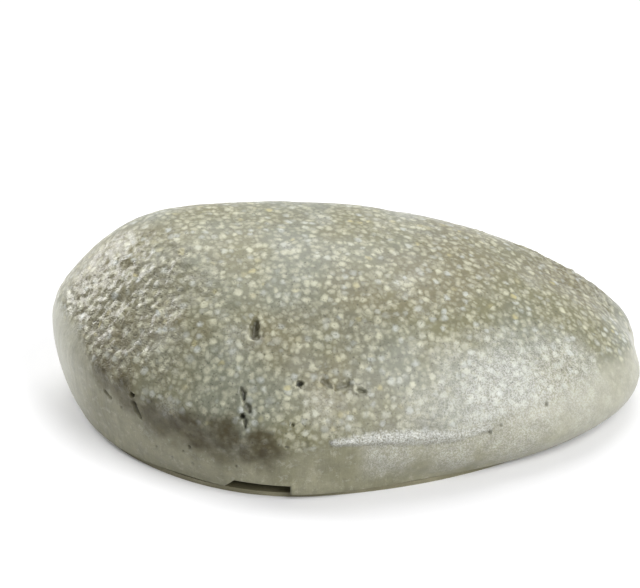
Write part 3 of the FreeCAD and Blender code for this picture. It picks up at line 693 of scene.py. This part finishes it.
def evenOut(mesh, free, rounds):
    # each free point moves to the middle of its neighbours, and half way back out
    edges = np.zeros(len(mesh.edges) * 2, np.int32)
    mesh.edges.foreach_get("vertices", edges)
    edges = edges.reshape(-1, 2)
    points = readVectors(mesh.vertices, "co")
    count = np.bincount(edges.ravel(), minlength=len(points)).astype(float)
    for number in range(rounds):
        total = np.zeros_like(points)
        for axis in range(3):
            total[:, axis] = (
                np.bincount(edges[:, 0], points[edges[:, 1], axis], len(points))
                + np.bincount(edges[:, 1], points[edges[:, 0], axis], len(points))
            )
        pull = rockShell["pull"] if number % 2 == 0 else rockShell["push"]
        step = total / count[:, None] - points
        points[free] += pull * step[free]
    mesh.vertices.foreach_set("co", points.ravel())
    mesh.update()
    return points


def fractalAt(points, length, octaves=3, offset=0.0):
    shift = Vector((offset, offset * 0.7, -offset))
    return np.array([
        noise.fractal(Vector(point) / (length * mm) + shift, 0.9, 2.1, octaves) for point in points
    ])


def ridgesAt(points, length, octaves=4, offset=0.0):
    shift = Vector((offset, -offset, offset * 0.5))
    return np.array([
        noise.ridged_multi_fractal(Vector(point) / (length * mm) + shift, 0.9, 2.0, octaves, 1.0, 2.0)
        for point in points
    ])


def bandHeight(points):
    station = np.array(rockShell["station"]) * mm
    turn = np.degrees(np.arctan2(points[:, 1] - station[1], points[:, 0] - station[0]))
    turns, heights = zip(*rockShell["bandHeights"])
    return np.interp(turn, turns, heights, period=360) * mm


def nearPlaces(points, places, raggedness):
    # how much each point belongs to any of the places, 0 to 1
    most = np.zeros(len(points))
    for middle, reach, strength in places:
        away = np.linalg.norm(points - np.array(middle) * mm, axis=1) / (reach * mm) + raggedness
        most = np.maximum(most, strength * (1 - smoothStep(0.35, 1.0, away)))
    return most


def lineDistance(points, mark, tree):
    # nearest distance to a mark's line, as a share of its half width there
    farOff = 9.0
    samples = markPoints(mark, 0.35 * mm)
    line = np.array([list(tree.find_nearest(point)[0]) for point, _ in samples])
    margin = 2.2 * max(width for _, width in samples)
    near = (points > line.min(0) - margin).all(1) & (points < line.max(0) + margin).all(1)
    close = points[near]
    share = np.full(len(close), farOff)
    for place, (_, width) in zip(line, samples):
        share = np.minimum(share, np.linalg.norm(close - place, axis=1) / width)
    best = np.full(len(points), farOff)
    best[near] = share
    return best


def carve(mesh, skinIndices, rimCount, tree):
    # moves the skin's points in and out, and notes on each point what the finish needs
    free = np.zeros(len(mesh.vertices), bool)
    free[skinIndices[rimCount:]] = True
    allPoints = evenOut(mesh, free, rockShell["smoothing"])
    normals = readVectors(mesh.vertex_normals, "vector")[skinIndices]
    points = allPoints[skinIndices]

    rimTree = nearTree(points[:rimCount])
    toRim = np.array([rimTree.find(point)[2] for point in points])
    fade = smoothStep(0, rockShell["edgeFade"], toRim)

    broad = fractalAt(points, rockShell["swellLength"], 2)
    ripple = fractalAt(points, rockShell["rippleLength"], 3, 7.0)
    edge = points[:, 2] - bandHeight(points)
    edge = edge + rockShell["bandDrift"] * broad + rockShell["bandFray"] * ripple
    dome = smoothStep(-rockShell["bandBlend"], rockShell["bandBlend"], edge)
    wrinkled = nearPlaces(points, wrinkledPlaces, 0.25 * ripple) * dome
    # dark stains, partly painted shade low on the front left where the dome meets the band
    stained = nearPlaces(points, stainAndShadePlaces, 0.3 * ripple)
    # where pale bloom lies, which also paints sheen and highlights
    bloomed = nearPlaces(points, bloomAndSheenPlaces, 0.2 * ripple)

    height = rockShell["swell"] * broad
    height += rockShell["bandStep"] * (dome - 1)
    # a soft shoulder where the dome meets the band
    height += rockShell["shoulder"] * hump(edge / mm, 1.8, 1.5)
    height -= rockShell["shoulder"] * hump(edge / mm, -1.6, 1.2)
    height += rockShell["ripple"] * ripple * dome
    furrows = ridgesAt(points, rockShell["furrowLength"], 4) - 1.0
    pebbling = ridgesAt(points, rockShell["pebbleLength"], 3, 5.0) - 1.0
    height -= wrinkled * rockShell["wrinkleDepth"] * (0.6 * furrows + 0.55 * pebbling)

    hollow = np.zeros(len(points))
    waver = fractalAt(points, 1.6, 2, 3.0) + 0.7 * fractalAt(points, 0.75, 2, 11.0)
    for mark in marks:
        share = lineDistance(points, mark, tree)
        depth = mark["depth"]
        ragged = rockShell["raggedHole"] if depth > 0 else rockShell["raggedRidge"]
        share = np.where(share < 5, share * (1 + ragged * waver), share)
        # a mark's pale chalk goes into the bloom, and also paints a highlight along a worn ledge or
        # lip
        pale = mark["pale"] * (1 - smoothStep(0.4, 1.3, share))
        bloomed = np.maximum(bloomed, pale)
        if depth > 0:
            bowl = 1 - smoothStep(0.05, 1.0, share)
            height -= depth * bowl
            if depth > rockShell["burrFrom"]:
                height += rockShell["burr"] * hump(share, 1.2, 0.22)
            # the deeper a hole, the darker it is painted: dirt and painted shade in its bottom
            hollow = np.maximum(hollow, bowl * min(1, depth / mark["dark"]))
        else:
            height -= depth * (1 - smoothStep(0.1, 1.0, share)) * (1 + 0.3 * waver)

    points = points + normals * (height * fade * mm)[:, None]
    low, high = (np.array(list(corner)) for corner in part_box("rock_shell"))
    points[rimCount:] = np.clip(points[rimCount:], low, high)
    allPoints[skinIndices] = points
    mesh.vertices.foreach_set("co", allPoints.ravel())
    mesh.update()

    measures = {
        "dome": dome,
        "wrinkled": wrinkled,
        "hollow": hollow,
        "stained": stained,
        "bloomed": bloomed,
        "skin": np.ones(len(points)),
    }
    for name, values in measures.items():
        attribute = mesh.attributes.new(name, "FLOAT", "POINT")
        spread = np.zeros(len(mesh.vertices))
        spread[skinIndices] = values
        attribute.data.foreach_set("value", spread)


stoneFinish = {
    "olive": chart(106, 104, 78),
    "cool": chart(108, 110, 94),
    "brown": chart(100, 91, 66),
    "cream": chart(184, 183, 160),
    "yellow": chart(180, 172, 126),
    "pale": chart(174, 178, 172),
    "band": chart(130, 128, 106),
    "bandStreak": chart(108, 106, 82),
    # pale of the band's mottles, and of the painted reflection at its ends
    "bandEnds": chart(172, 172, 160),
    # dark stain, also the colour of painted shade
    "stain": chart(54, 46, 14),
    # pale bloom, also the colour of painted sheen
    "bloom": chart(206, 207, 202),
    # dark of grime, specks and painted shade
    "dark": chart(34, 31, 22),
    "rawCasting": chart(106, 102, 84),
    "rawPale": chart(140, 137, 120),
    "grains": {"size": 1.85, "reach": 0.37, "softness": 0.24, "waviness": 0.17},
    "smallGrains": {"size": 1.25, "reach": 0.37, "softness": 0.28, "waviness": 0.14},
    "specular": 0.22,
    "varnish": 0.45,
    "varnishStained": 0.25,
    "varnishRoughness": 0.27,
    "reliefDepth": 0.6 * mm,
}


def makeStoneMaterial():
    material, tree, shader, place = newMaterial("castStone")
    look = stoneFinish
    dome, wrinkled, hollow, stained, bloomed, skin = (
        measured(tree, name)
        for name in ("dome", "wrinkled", "hollow", "stained", "bloomed", "skin")
    )

    # the matrix drifts between olive, cool grey and brown
    drift = noiseAt(tree, place, 0.05, 2.0, 0.5, "drift")
    turned = stretched(tree, place, (1, 1, 1), (0.4, 0.9, 0.2))
    brownDrift = noiseAt(tree, turned, 0.035, 2.0, 0.5, "brown drift")
    matrix = blendColours(tree, remap(tree, drift, 0.4, 0.62), look["olive"], look["cool"])
    matrix = blendColours(tree, remap(tree, brownDrift, 0.5, 0.68, 0, 0.4), matrix, look["brown"])
    matrix = blendColours(tree, times(tree, wrinkled, 0.45), matrix, look["brown"])

    big = useGroup(tree, cellsGroup, place=place, **look["grains"])
    small = useGroup(tree, cellsGroup, place=place, **look["smallGrains"])
    tooth = useGroup(tree, toothGroup, place=place, coarse=0.45, fine=2.4)
    ridges = addNode(tree, "ShaderNodeTexNoise", "ridges", noise_type="RIDGED_MULTIFRACTAL")
    feed(tree, ridges.inputs["Vector"], stretched(tree, place, (1, 1, 1.5), (0.3, 0.5, 0.7)))
    ridges.inputs["Scale"].default_value = 1.2
    ridges.inputs["Detail"].default_value = 3.0
    ridges.inputs["Roughness"].default_value = 0.6
    bigColour = blendColours(tree, remap(tree, big["chance"], 0.5, 0.95), look["cream"], look["pale"])
    bigColour = blendColours(tree, remap(tree, big["chance"], 0.06, 0.01), bigColour, look["yellow"])
    # grains go pale under the bloom and its painted sheen
    bigColour = blendColours(tree, times(tree, bloomed, 0.7), bigColour, look["pale"])
    speckled = blendColours(tree, times(tree, small["mask"], 0.5), matrix, look["cream"])
    speckled = blendColours(tree, times(tree, big["mask"], 0.8), speckled, bigColour)

    # the plain band, with faint streaks down it, has a ragged edge
    streaks = noiseAt(tree, stretched(tree, place, (1, 1, 0.12)), 0.6, 3.0, 0.6, "streaks")
    clouds = noiseAt(tree, place, 0.11, 2.0, 0.5, "clouds")
    apart = addNode(tree, "ShaderNodeSeparateXYZ", "apart")
    feed(tree, apart.inputs[0], place)
    behind = remap(tree, apart.outputs[1], 0, 25, 0.15, 0.8)
    sideways = larger(tree, behind, remap(tree, apart.outputs[0], -44, -58, 0, 0.55))
    streaked = times(tree, sideways, remap(tree, streaks, 0.4, 0.7))
    clouded = larger(tree, streaked, remap(tree, clouds, 0.42, 0.62, 0, 0.6))
    band = blendColours(tree, clouded, look["band"], look["bandStreak"])
    mottles = remap(tree, noiseAt(tree, place, 0.6, 4.0, 0.7, "mottles"), 0.52, 0.7, 0, 0.3)
    band = blendColours(tree, mottles, band, look["bandEnds"])
    # the band's two ends are painted lighter, a painted reflection of the white surround
    tapered = remap(tree, apart.outputs[0], 25, 55, 0, 0.5)
    blunt = remap(tree, apart.outputs[0], -56, -65, 0, 0.6)
    band = blendColours(tree, larger(tree, tapered, blunt), band, look["bandEnds"])
    ragged = calc(tree, "MULTIPLY_ADD", calc(tree, "SUBTRACT", tooth["tone"], 0.5), 0.7, dome)
    colour = blendColours(tree, remap(tree, ragged, 0.05, 0.95), band, speckled)

    # dark stain and painted shade, broken into blotches
    blotches = remap(tree, noiseAt(tree, place, 0.35, 3.0, 0.6, "blotches"), 0.3, 0.7, 0.68, 1.0)
    colour = blendColours(tree, times(tree, stained, blotches), colour, look["stain"])
    dusting = noiseAt(tree, place, 2.6, 3.0, 0.75, "dusting")
    # a pale haze of bloom, random smoky patches and painted sheen
    paleAndSheen = times(tree, bloomed, remap(tree, dome, 0, 0.8, 0.7, 1.0))
    smoky = noiseAt(tree, turned, 0.09, 3.0, 0.6, "smoky patches")
    smoke = times(tree, remap(tree, smoky, 0.52, 0.7, 0, 0.36), dome)
    paleAndSheen = larger(tree, paleAndSheen, smoke)
    hazeAndSheen = times(tree, paleAndSheen, remap(tree, dusting, 0.4, 0.62, 0.15, 0.62))
    colour = blendColours(tree, hazeAndSheen, colour, look["bloom"])
    tone = addNode(tree, "ShaderNodeCombineColor", "tone")
    for socket in tone.inputs[:3]:
        feed(tree, socket, remap(tree, tooth["tone"], 0.3, 0.75, 0.82, 1.12, "LINEAR"))
    colour = blendColours(tree, 1.0, colour, tone.outputs[0], "MULTIPLY")
    # grime and painted shade in the fine furrows and the pits, and dark specks
    furrowed = times(tree, wrinkled, remap(tree, ridges.outputs["Fac"], 0.7, 1.4, 0, 0.75))
    specks = remap(tree, noiseAt(tree, place, 1.7, 2.0, 0.55, "specks"), 0.6, 0.72, 0, 0.5)
    grimeAndShade = larger(tree, furrowed, times(tree, specks, dome))
    grimeAndShade = larger(tree, grimeAndShade, times(tree, hollow, 0.8))
    colour = blendColours(tree, grimeAndShade, colour, look["dark"])
    # the unpainted inside: cloudy, with fine grains and air bubbles
    raw = blendColours(tree, remap(tree, clouds, 0.38, 0.62), look["rawCasting"], look["rawPale"])
    raw = blendColours(tree, times(tree, small["mask"], 0.3), raw, look["rawPale"])
    raw = blendColours(tree, remap(tree, tooth["tone"], 0.55, 0.75, 0, 0.4), raw, look["rawPale"])
    raw = blendColours(tree, specks, raw, look["dark"])
    colour = blendColours(tree, skin, raw, colour)
    feed(tree, shader.inputs["Base Color"], colour)
    feed(tree, shader.inputs["Roughness"], remap(tree, tooth["tone"], 0.3, 0.7, 0.4, 0.6, "LINEAR"))
    varnish = remap(tree, stained, 0, 1, look["varnish"], look["varnishStained"], "LINEAR")
    feed(tree, shader.inputs["Coat Weight"], times(tree, skin, varnish))
    setPlain(shader, SpecularIORLevel=look["specular"], CoatRoughness=look["varnishRoughness"])

    # relief too fine for the mesh
    relief = times(tree, tooth["height"], 0.16)
    relief = calc(tree, "MULTIPLY_ADD", big["mask"], 0.04, relief)
    wrinkles = times(tree, wrinkled, ridges.outputs["Fac"])
    relief = calc(tree, "MULTIPLY_ADD", wrinkles, -0.85, relief)
    relief = calc(tree, "MULTIPLY_ADD", times(tree, bloomed, dusting), 0.35, relief)
    plain = calc(tree, "SUBTRACT", 1.0, dome)
    relief = calc(tree, "MULTIPLY_ADD", times(tree, plain, streaks), 0.3, relief)
    bumped(tree, shader, relief, look["reliefDepth"])
    return material


def sharpenRim(mesh):
    # the flat rim is shaded apart from the skin that curls in to it
    bm = bmesh.new()
    bm.from_mesh(mesh)
    for edge in bm.edges:
        flats = [face.normal.z < rockShell["flatRim"] for face in edge.link_faces]
        if any(flats) and not all(flats):
            edge.smooth = False
    bm.to_mesh(mesh)
    bm.free()


def buildRockShell():
    mesh, skinIndices, rimCount, tree = makeSkinMesh()
    carve(mesh, skinIndices, rimCount, tree)
    for polygon in mesh.polygons:
        polygon.use_smooth = True
    mesh.set_sharp_from_angle(angle=math.radians(rockShell["sharpShading"]))
    sharpenRim(mesh)
    shell = bpy.data.objects.new("rockShell", mesh)
    bpy.context.collection.objects.link(shell)
    mesh.materials.append(makeStoneMaterial())
    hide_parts("rock_shell")
    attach(shell, "stone")


buildRockShell()
print("rock shell built")


# soft pieces start as an even mesh of their CAD solid
def softCopy(name, node, grid):
    bm = mergedCopy(node)
    mesh = bpy.data.meshes.new(name)
    bm.to_mesh(mesh)
    bm.free()
    piece = bpy.data.objects.new(name, mesh)
    bpy.context.collection.objects.link(piece)
    even = piece.modifiers.new("even", "REMESH")
    even.mode = "VOXEL"
    even.voxel_size = grid
    return piece


def newNodes(piece, name, labels):
    # geometry goes in with a plain number for each label, and geometry comes out
    group = bpy.data.node_groups.new(name, "GeometryNodeTree")
    group.interface.new_socket("Geometry", in_out="INPUT", socket_type="NodeSocketGeometry")
    sockets = {}
    for label in labels:
        sockets[label] = group.interface.new_socket(
            label, in_out="INPUT", socket_type="NodeSocketFloat"
        )
    group.interface.new_socket("Geometry", in_out="OUTPUT", socket_type="NodeSocketGeometry")
    entry = group.nodes.new("NodeGroupInput")
    leave = group.nodes.new("NodeGroupOutput")
    modifier = piece.modifiers.new(name, "NODES")
    modifier.node_group = group
    return group, modifier, sockets, entry.outputs, leave.inputs


def finishNodes(group, geometry, material, leave):
    realize = addNode(group, "GeometryNodeRealizeInstances", "realize")
    group.links.new(geometry, realize.inputs[0])
    painted = addNode(group, "GeometryNodeSetMaterial", "paint")
    group.links.new(realize.outputs[0], painted.inputs["Geometry"])
    painted.inputs["Material"].default_value = material
    group.links.new(painted.outputs[0], leave["Geometry"])


def settle(piece):
    # the modifiers' outcome becomes the piece's own mesh
    graph = bpy.context.evaluated_depsgraph_get()
    mesh = bpy.data.meshes.new_from_object(piece.evaluated_get(graph))
    piece.modifiers.clear()
    mesh.name = piece.name
    piece.data = mesh
    for polygon in mesh.polygons:
        polygon.use_smooth = True
    print(piece.name, "settled:", len(mesh.polygons), "faces")


# the foam pad under the crown, with an egg-crate face
foamPad = {
    "grid": 0.5 * mm,
    "pitch": 6.2 * mm,
    "depth": 2.2 * mm,
    "fade": 7.0 * mm,
    "foam": chart(74, 74, 70),
    # dark of the pores' painted shade, and of dirt
    "pore": chart(28, 28, 27),
}


def makeFoamMaterial():
    material, tree, shader, place = newMaterial("openCellFoam")
    pores = useGroup(
        tree, cellsGroup, place=place, size=0.55, reach=0.36, softness=0.12, waviness=0.05
    )
    tooth = useGroup(tree, toothGroup, place=place, coarse=0.25, fine=1.5)
    dirt = remap(tree, tooth["tone"], 0.3, 0.7, 0, 0.35)
    foam = blendColours(tree, dirt, foamPad["foam"], foamPad["pore"])
    # the pores are painted dark: painted shade in the holes
    feed(tree, shader.inputs["Base Color"], blendColours(tree, pores["mask"], foam, foamPad["pore"]))
    setPlain(shader, Roughness=0.95, SpecularIORLevel=0.2)
    relief = calc(tree, "MULTIPLY_ADD", pores["mask"], -0.6, tooth["height"])
    bumped(tree, shader, relief, 0.35 * mm)
    return material


def buildFoamPad():
    pad = softCopy("foamPad", "roof_pad", foamPad["grid"])
    group, modifier, sockets, given, leave = newNodes(
        pad, "eggCrate", ("level", "pitch", "depth", "fade")
    )
    place = addNode(group, "GeometryNodeInputPosition", "place")
    split = addNode(group, "ShaderNodeSeparateXYZ", "split")
    group.links.new(place.outputs[0], split.inputs[0])
    turns = calc(group, "DIVIDE", 2 * math.pi, given["pitch"])
    waveX, waveY = (
        calc(group, "COSINE", times(group, split.outputs[axis], turns)) for axis in (0, 1)
    )
    crate = calc(group, "MULTIPLY_ADD", times(group, waveX, waveY), 0.5, 0.5)
    top = calc(group, "ADD", given["level"], given["fade"])
    near = remap(group, split.outputs[2], given["level"], top, 1, 0)
    lift = times(group, times(group, crate, near), given["depth"])
    offset = addNode(group, "ShaderNodeCombineXYZ", "offset")
    group.links.new(lift, offset.inputs[2])
    moved = addNode(group, "GeometryNodeSetPosition", "moved")
    group.links.new(given["Geometry"], moved.inputs["Geometry"])
    group.links.new(offset.outputs[0], moved.inputs["Offset"])
    finishNodes(group, moved.outputs[0], makeFoamMaterial(), leave)
    modifier[sockets["level"].identifier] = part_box("roof_pad")[0][2]
    for label in ("pitch", "depth", "fade"):
        modifier[sockets[label].identifier] = foamPad[label]
    settle(pad)
    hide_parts("roof_pad")
    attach(pad, "stone")


buildFoamPad()
print("foam pad built")

# the felt in the key tray, with loose fibres on it
feltLiner = {
    "grid": 0.45 * mm,
    "fibres": 0.9e6,  # to the square metre
    "fibreLength": 1.8 * mm,
    "fibreBow": 0.5 * mm,
    "fibreWidth": 0.035 * mm,
    "fibreTilt": 0.06,
    "seed": 7,
    "felt": chart(70, 80, 62),
    "feltPale": chart(112, 122, 98),
}


def makeFeltMaterial():
    material, tree, shader, place = newMaterial("woolFelt")
    tooth = useGroup(tree, toothGroup, place=place, coarse=0.4, fine=2.2)
    oneWay = stretched(tree, place, (0.25, 2.5, 1), (0, 0, 0.6))
    across = stretched(tree, place, (2.5, 0.25, 1), (0, 0, 0.2))
    crossA = noiseAt(tree, oneWay, 1.6, 3.0, 0.7, "fibres one way")
    crossB = noiseAt(tree, across, 1.6, 3.0, 0.7, "fibres across")
    matted = larger(tree, crossA, crossB)
    fleck = remap(tree, matted, 0.45, 0.75, 0, 0.8)
    colour = blendColours(tree, fleck, feltLiner["felt"], feltLiner["feltPale"])
    worn = remap(tree, tooth["tone"], 0.35, 0.7, 0, 0.4)
    colour = blendColours(tree, worn, colour, feltLiner["felt"])
    feed(tree, shader.inputs["Base Color"], colour)
    setPlain(shader, Roughness=0.95, SpecularIORLevel=0.15, SheenWeight=0.35, SheenRoughness=0.5)
    bumped(tree, shader, calc(tree, "ADD", matted, tooth["height"]), 0.2 * mm)
    return material


def buildFeltLiner():
    felt = softCopy("feltLiner", "tray_liner", feltLiner["grid"])
    labels = ("fibres", "fibreLength", "fibreBow", "fibreWidth")
    group, modifier, sockets, given, leave = newNodes(felt, "looseFibres", labels)
    facing = addNode(group, "GeometryNodeInputNormal", "facing")
    split = addNode(group, "ShaderNodeSeparateXYZ", "split")
    group.links.new(facing.outputs[0], split.inputs[0])
    upward = addNode(group, "FunctionNodeCompare", "upward", operation="GREATER_THAN")
    group.links.new(split.outputs[2], upward.inputs[0])
    upward.inputs[1].default_value = 0.9
    scatter = addNode(group, "GeometryNodeDistributePointsOnFaces", "scatter")
    group.links.new(given["Geometry"], scatter.inputs["Mesh"])
    group.links.new(upward.outputs[0], scatter.inputs["Selection"])
    feed(group, scatter.inputs["Density"], given["fibres"])
    scatter.inputs["Seed"].default_value = feltLiner["seed"]

    bow = addNode(group, "GeometryNodeCurveQuadraticBezier", "fibre")
    bow.inputs["Resolution"].default_value = 4
    ends = []
    for share in (-0.5, 0.5):
        end = addNode(group, "ShaderNodeCombineXYZ", "end")
        feed(group, end.inputs[0], times(group, given["fibreLength"], share))
        ends.append(end.outputs[0])
    middle = addNode(group, "ShaderNodeCombineXYZ", "middle")
    feed(group, middle.inputs[1], given["fibreBow"])
    group.links.new(ends[0], bow.inputs["Start"])
    group.links.new(middle.outputs[0], bow.inputs["Middle"])
    group.links.new(ends[1], bow.inputs["End"])
    section = addNode(group, "GeometryNodeCurvePrimitiveCircle", "section")
    section.inputs["Resolution"].default_value = 3
    feed(group, section.inputs["Radius"], given["fibreWidth"])
    thread = addNode(group, "GeometryNodeCurveToMesh", "thread")
    group.links.new(bow.outputs[0], thread.inputs["Curve"])
    group.links.new(section.outputs[0], thread.inputs["Profile Curve"])
    thread.inputs["Fill Caps"].default_value = True

    spin = addNode(group, "FunctionNodeRandomValue", "spin", data_type="FLOAT_VECTOR")
    tilt = feltLiner["fibreTilt"]
    spin.inputs[0].default_value = (-tilt, -tilt, 0)
    spin.inputs[1].default_value = (tilt, tilt, 2 * math.pi)
    spin.inputs["Seed"].default_value = feltLiner["seed"] + 1
    laid = addNode(group, "GeometryNodeInstanceOnPoints", "laid")
    group.links.new(scatter.outputs["Points"], laid.inputs["Points"])
    group.links.new(thread.outputs[0], laid.inputs["Instance"])
    group.links.new(spin.outputs[0], laid.inputs["Rotation"])
    joined = addNode(group, "GeometryNodeJoinGeometry", "joined")
    group.links.new(laid.outputs[0], joined.inputs[0])
    group.links.new(given["Geometry"], joined.inputs[0])
    finishNodes(group, joined.outputs[0], makeFeltMaterial(), leave)
    for label in labels:
        modifier[sockets[label].identifier] = feltLiner[label]
    settle(felt)
    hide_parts("tray_liner")
    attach(felt, "base")


buildFeltLiner()
print("felt liner built")

# finishes of the hard parts inside
hardFinishes = {
    "base": chart(112, 108, 84),
    "baseWorn": chart(136, 132, 108),
    "tray": chart(58, 60, 56),
    "trayWorn": chart(84, 86, 80),
    "rubber": chart(116, 112, 91),
    "dust": chart(132, 128, 110),
    "steel": chart(186, 186, 184),
    "steelDull": chart(132, 131, 126),
    "brass": chart(196, 164, 92),
    "brassDull": chart(142, 112, 58),
    "nickel": chart(204, 201, 192),
    "nickelDull": chart(158, 154, 144),
}


def makePlastic(name, colour, worn, roughness):
    # moulded with a fine spark-eroded grain, rubbed paler here and there
    material, tree, shader, place = newMaterial(name)
    tooth = useGroup(tree, toothGroup, place=place, coarse=0.15, fine=3.5)
    rubbed = remap(tree, tooth["tone"], 0.45, 0.75, 0, 0.7)
    feed(tree, shader.inputs["Base Color"], blendColours(tree, rubbed, colour, worn))
    feed(tree, shader.inputs["Roughness"], calc(tree, "MULTIPLY_ADD", rubbed, -0.15, roughness))
    bumped(tree, shader, tooth["height"], 0.12 * mm)
    return material


def makeRubber():
    material, tree, shader, place = newMaterial("sealRubber")
    tooth = useGroup(tree, toothGroup, place=place, coarse=0.3, fine=4.0)
    dusty = remap(tree, tooth["tone"], 0.5, 0.75, 0, 0.5)
    colour = blendColours(tree, dusty, hardFinishes["rubber"], hardFinishes["dust"])
    feed(tree, shader.inputs["Base Color"], colour)
    setPlain(shader, Roughness=0.72, SpecularIORLevel=0.35)
    bumped(tree, shader, tooth["height"], 0.05 * mm)
    return material


def makeMetal(name, colour, dull, fineness, roughness):
    material, tree, shader, place = newMaterial(name)
    brushed = useGroup(tree, brushedGroup, place=place, fineness=fineness)
    dulled = remap(tree, brushed["smudges"], 0.4, 0.7, 0, 0.8)
    feed(tree, shader.inputs["Base Color"], blendColours(tree, dulled, colour, dull))
    setPlain(shader, Metallic=1.0)
    grained = calc(tree, "MULTIPLY_ADD", brushed["lines"], 0.16, roughness)
    feed(tree, shader.inputs["Roughness"], calc(tree, "MULTIPLY_ADD", dulled, 0.15, grained))
    bumped(tree, shader, brushed["lines"], 0.02 * mm)
    return material


def paint(material, *nodes):
    for node in nodes:
        materials = bpy.data.objects[node].data.materials
        if not materials:
            materials.append(material)
        for number in range(len(materials)):
            materials[number] = material


def paintHardParts():
    look = hardFinishes
    paint(makePlastic("basePlastic", look["base"], look["baseWorn"], 0.55), "base_plate")
    paint(makePlastic("trayPlastic", look["tray"], look["trayWorn"], 0.5), "key_tray")
    paint(makeRubber(), "rim_seal")
    steel = makeMetal("platedSteel", look["steel"], look["steelDull"], 6.0, 0.36)
    screws = [f"tray_screw_{number}" for number in (1, 2, 3, 4)]
    paint(steel, "hinge_leaf", "hinge_pin", "leaf_screw_1", "leaf_screw_2", *screws)
    brass = makeMetal("brass", look["brass"], look["brassDull"], 4.0, 0.28)
    paint(brass, "leaf_insert_1", "leaf_insert_2")
    magnets = [f"{owner}_magnet_{side}" for owner in ("base", "shell") for side in ("left", "right")]
    paint(makeMetal("nickelPlate", look["nickel"], look["nickelDull"], 2.0, 0.2), *magnets)


paintHardParts()
print("hard parts painted")

# plain studio
studio = {
    "floorColour": (0.82, 0.82, 0.83, 1),
    "floorSize": 3.0,
    "floorDrop": 0.02 * mm,  # just clear of the base
    # how far out the ground starts to fade to plain white, and ends, in millimetres
    "whiteFrom": 130,
    "whiteAt": 300,
    "surround": 0.25,
    "lampDistance": 0.9,
    "lamps": [
        # degrees round from the front and up, size and power of each soft box
        (-130, 27, 0.62, 8.4),
        (47, 37, 0.85, 9.8),
        (165, 60, 0.8, 4.8),
    ],
}


def seenDirectly(tree):
    # rays from the camera, and those that metal or varnish reflects
    path = addNode(tree, "ShaderNodeLightPath", "path")
    mirrored = larger(tree, path.outputs["Is Glossy Ray"], path.outputs["Is Transmission Ray"])
    return larger(tree, path.outputs["Is Camera Ray"], mirrored)


def makeGroundMaterial():
    # pale ground that keeps the shadow, and is plain white to the camera further out
    material, tree, surface, place = newMaterial("ground")
    setPlain(surface, BaseColor=studio["floorColour"], Roughness=0.9, SpecularIORLevel=0.1)
    away = addNode(tree, "ShaderNodeVectorMath", "away", operation="LENGTH")
    feed(tree, away.inputs[0], place)
    far = remap(tree, away.outputs["Value"], studio["whiteFrom"], studio["whiteAt"])
    white = addNode(tree, "ShaderNodeEmission", "white")
    mixed = addNode(tree, "ShaderNodeMixShader", "to white")
    feed(tree, mixed.inputs[0], times(tree, far, seenDirectly(tree)))
    tree.links.new(surface.outputs[0], mixed.inputs[1])
    tree.links.new(white.outputs[0], mixed.inputs[2])
    tree.links.new(mixed.outputs[0], tree.nodes["Material Output"].inputs["Surface"])
    return material


def makeStudio():
    mesh = bpy.data.meshes.new("ground")
    half = studio["floorSize"] / 2
    corners = [(-half, -half), (half, -half), (half, half), (-half, half)]
    mesh.from_pydata([(x, y, -studio["floorDrop"]) for x, y in corners], [], [(0, 1, 2, 3)])
    ground = bpy.data.objects.new("ground", mesh)
    bpy.context.collection.objects.link(ground)
    mesh.materials.append(makeGroundMaterial())

    for number, (turn, rise, size, power) in enumerate(studio["lamps"], start=1):
        data = bpy.data.lights.new(f"softBox{number}", "AREA")
        data.shape = "DISK"
        data.size = size
        data.energy = power
        lamp = aimed(f"softBox{number}", data, turn, rise, studio["lampDistance"])
        lamp.visible_camera = False

    world = bpy.data.worlds.new("surround")
    bpy.context.scene.world = world
    world.use_nodes = True
    tree = world.node_tree
    tree.nodes.clear()
    background = addNode(tree, "ShaderNodeBackground", "white")
    background.inputs["Color"].default_value = (1, 1, 1, 1)
    strength = remap(tree, seenDirectly(tree), 0, 1, studio["surround"], 1.0, "LINEAR")
    feed(tree, background.inputs["Strength"], strength)
    output = addNode(tree, "ShaderNodeOutputWorld", "output")
    tree.links.new(background.outputs[0], output.inputs["Surface"])
    bpy.context.scene.view_settings.view_transform = "Standard"


makeStudio()
print("studio ready")
